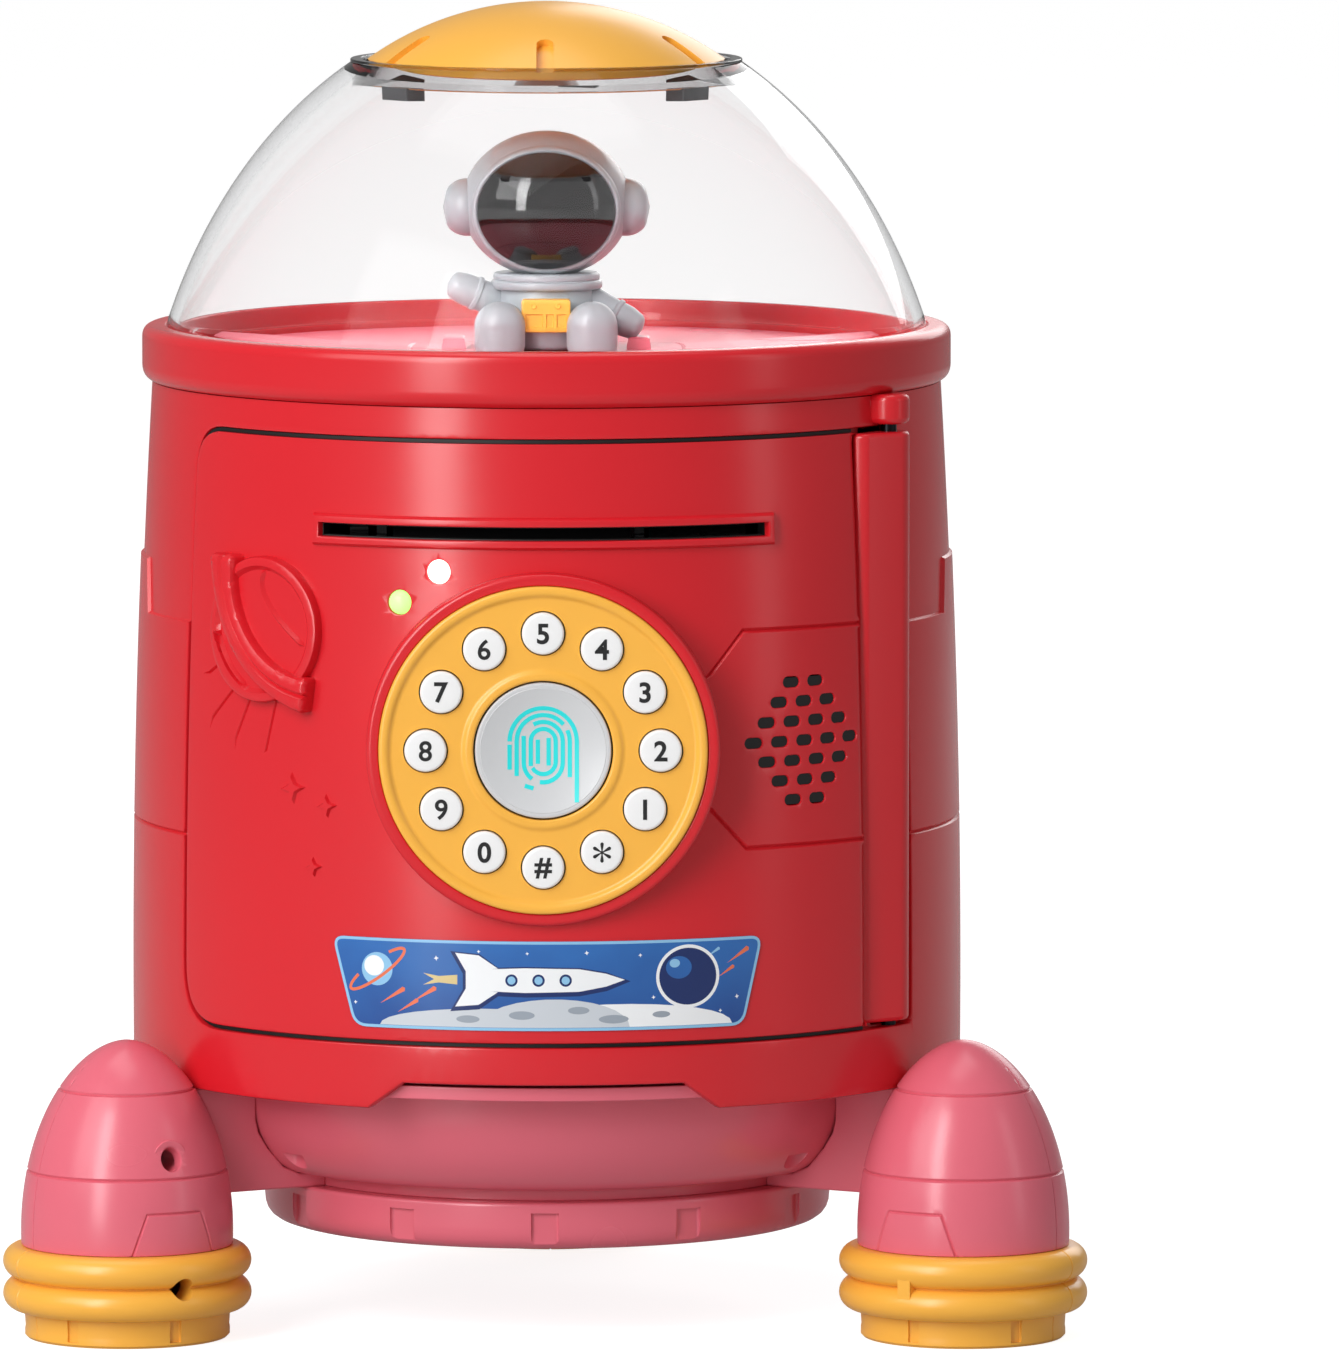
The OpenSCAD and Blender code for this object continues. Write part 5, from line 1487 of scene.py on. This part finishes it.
# ---------- label: a film printed with a rocket over a moon, between two planets, laminated with
# gloss and stuck on the door's lower part ----------
def printed_film(name, colour, dark=None):
    """Gloss-laminated print: flat inks under clear film. Where a darker ink is given, it clouds
    the lower part of the colour."""
    material, tree, out = new_material(name)
    place = add(tree, "ShaderNodeTexCoord")
    base = linear(colour)
    shader = add(tree, "ShaderNodeBsdfPrincipled", Base_Color=base, Roughness=0.22, IOR=1.5)
    if dark:
        split = add(tree, "ShaderNodeSeparateXYZ", Vector=place.outputs["Object"])
        height = add(tree, "ShaderNodeMapRange", Value=split.outputs["Z"], From_Min=0.0615,
                     From_Max=0.078)
        cloud = add(tree, "ShaderNodeTexNoise", Vector=place.outputs["Object"], Scale=90.0, Detail=2.0)
        both = add(tree, "ShaderNodeMath", {"operation": "MULTIPLY_ADD"}, _0=cloud.outputs["Fac"],
                   _1=0.8, _2=height.outputs[0])
        level = add(tree, "ShaderNodeMapRange", Value=both.outputs[0], From_Min=0.35, From_Max=1.35)
        mix = add(tree, "ShaderNodeMix", {"data_type": "RGBA"}, Factor=level.outputs[0])
        mix.inputs["A"].default_value, mix.inputs["B"].default_value = linear(dark), base
        tree.links.new(mix.outputs["Result"], shader.inputs["Base Color"])
    tree.links.new(shader.outputs[0], out.inputs[0])
    return material


FILM = [printed_film("film_space_blue", "#2F6BB4", "#234C93"), printed_film("film_ice_blue", "#8FC3E6"),
        printed_film("film_white_ink", "#F2F4F6"), printed_film("film_moon_grey", "#C9CFD6"),
        printed_film("film_crater_grey", "#9AA3AE"), printed_film("film_comet_orange", "#E8744F"),
        printed_film("film_navy", "#1B2F66"), printed_film("film_shadow_gold", "#D9C48A")]
BLUE, ICE, WHITE_INK, MOON, CRATER, COMET, NAVY, GOLD = range(8)
LABEL_EDGE = softened([(-36.3, 61.5), (38.4, 61.5), (42.5, 78.1), (-41, 78.2)], 2.6, 6)
tints = [(grown(LABEL_EDGE, -0.02), ICE), (grown(LABEL_EDGE, -0.55), BLUE)]


def moon_hill(cx, half, top, base=62.1):
    return [(cx + half * math.cos(math.radians(a)), base + (top - base) * math.sin(math.radians(a)))
            for a in range(0, 181, 12)]


tints += [(moon_hill(-10, 21, 65.6), MOON), (moon_hill(14, 22, 66.4), WHITE_INK),
          (moon_hill(2, 14, 67.4), MOON)]
tints += [(ellipse(*crater, 24), CRATER) for crater in (
    (-4, 64.4, 2.4, 0.8), (6.5, 65.3, 2.0, 0.7), (13, 63.6, 2.8, 0.8), (-14, 63.6, 2.2, 0.7),
    (22, 64.3, 1.7, 0.6))]


COMET_SLOPE = 0.55


def streak(x, y, length, width):
    """A comet: a thin wedge that widens towards its head, up and to the right."""
    dx, dy = length * math.cos(COMET_SLOPE), length * math.sin(COMET_SLOPE)
    nx, ny = -math.sin(COMET_SLOPE) * width / 2, math.cos(COMET_SLOPE) * width / 2
    return [(x, y), (x + dx - nx, y + dy - ny), (x + dx * 1.06, y + dy * 1.06),
            (x + dx + nx, y + dy + ny)]


tints += [(streak(*comet), COMET) for comet in (
    (-31, 66, 5.5, 0.9), (-27.5, 64.5, 4.5, 0.8), (-24.5, 66.6, 5, 0.9), (35, 73.3, 5, 0.9),
    (33.2, 70.8, 3.6, 0.7))]
tints.append((streak(30.8, 74.6, 3, 0.6), ICE))
# ringed planet at the left
tints += [(ellipse(-31.6, 72.4, 3.1, 3.1, 36), ICE), (ellipse(-32.2, 73.0, 2.0, 1.9, 28), WHITE_INK)]
ring_line = [(-31.6 + 6.6 * math.cos(a) * math.cos(0.62) - 1.5 * math.sin(a) * math.sin(0.62),
              72.4 + 6.6 * math.cos(a) * math.sin(0.62) + 1.5 * math.sin(a) * math.cos(0.62))
             for a in np.linspace(math.radians(125), math.radians(415), 44)]
tints.append((beside(ring_line, 0.28) + beside(ring_line, -0.28)[::-1], COMET))


def rocket_sign(cx, cy, number, grow=0.0):
    """A pictogram of a flying rocket, nose to the right, drawn in a few strokes of one ink."""
    body = [(-15, -1.9), (-4, -2.3), (6, -2.1), (11, -1.2), (14.5, 0), (11, 1.2), (6, 2.1),
            (-4, 2.3), (-15, 1.9)]
    upper_fin = [(-15, 1.6), (-9, 2.2), (-12.6, 4.6), (-17, 5.0)]
    lower_fin = [(-15, -1.6), (-17, -5.0), (-12.6, -4.6), (-9, -2.2)]
    loops = []
    for loop in (body, upper_fin, lower_fin):
        loop = [(cx + x, cy + y) for x, y in loop]
        area = sum(a[0] * b[1] - b[0] * a[1] for a, b in zip(loop, loop[1:] + loop[:1]))
        loop = loop if area > 0 else loop[::-1]
        loops.append((grown(loop, grow) if grow else loop, number))
    return loops


tints += rocket_sign(0.6, 70.6, NAVY, 0.55) + rocket_sign(0.6, 70.9, WHITE_INK)
tints += [(ring(x + 0.6, 70.9, 1.15, 24), NAVY) for x in (-6.5, -1.5, 3.5)]
tints += [(ring(x + 0.6, 70.9, 0.75, 24), ICE) for x in (-6.5, -1.5, 3.5)]
flame = [(-19.5, 70.3), (-22.5, 69.8), (-20.4, 70.9), (-22.5, 72.0), (-19.5, 71.5), (-16, 71.8),
         (-16, 70.0)]
tints.append((flame, GOLD))
# dark planet at the right, with a lit cap and a thin ring
tints += [(ellipse(27.2, 71.2, 6.2, 5.9, 48), WHITE_INK), (ellipse(27.2, 71.2, 5.6, 5.3, 48), NAVY),
          (ellipse(25.4, 72.9, 2.5, 2.1, 32), BLUE), (ellipse(24.6, 73.7, 1.0, 0.8, 20), ICE)]
for x, y, size in ((-20, 74.8, 0.5), (-12, 76.2, 0.35), (8, 76, 0.45), (18, 75.4, 0.4), (37, 67, 0.45),
                   (-36, 66, 0.4), (-3, 75.9, 0.35), (20.5, 67.5, 0.4), (33.6, 64.5, 0.4)):
    tints.append((four_point_star(x, y, size), WHITE_INK))
label = sheet("space_label", LABEL_EDGE, lambda u, v, h: round_barrel(u, v, h + 0.3), 0.28,
              np.arange(-41, 43, 2.2), np.arange(62, 78, 2.2), FILM,
              tints=tints, step=1.0)
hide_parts("label")
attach(label, "door")
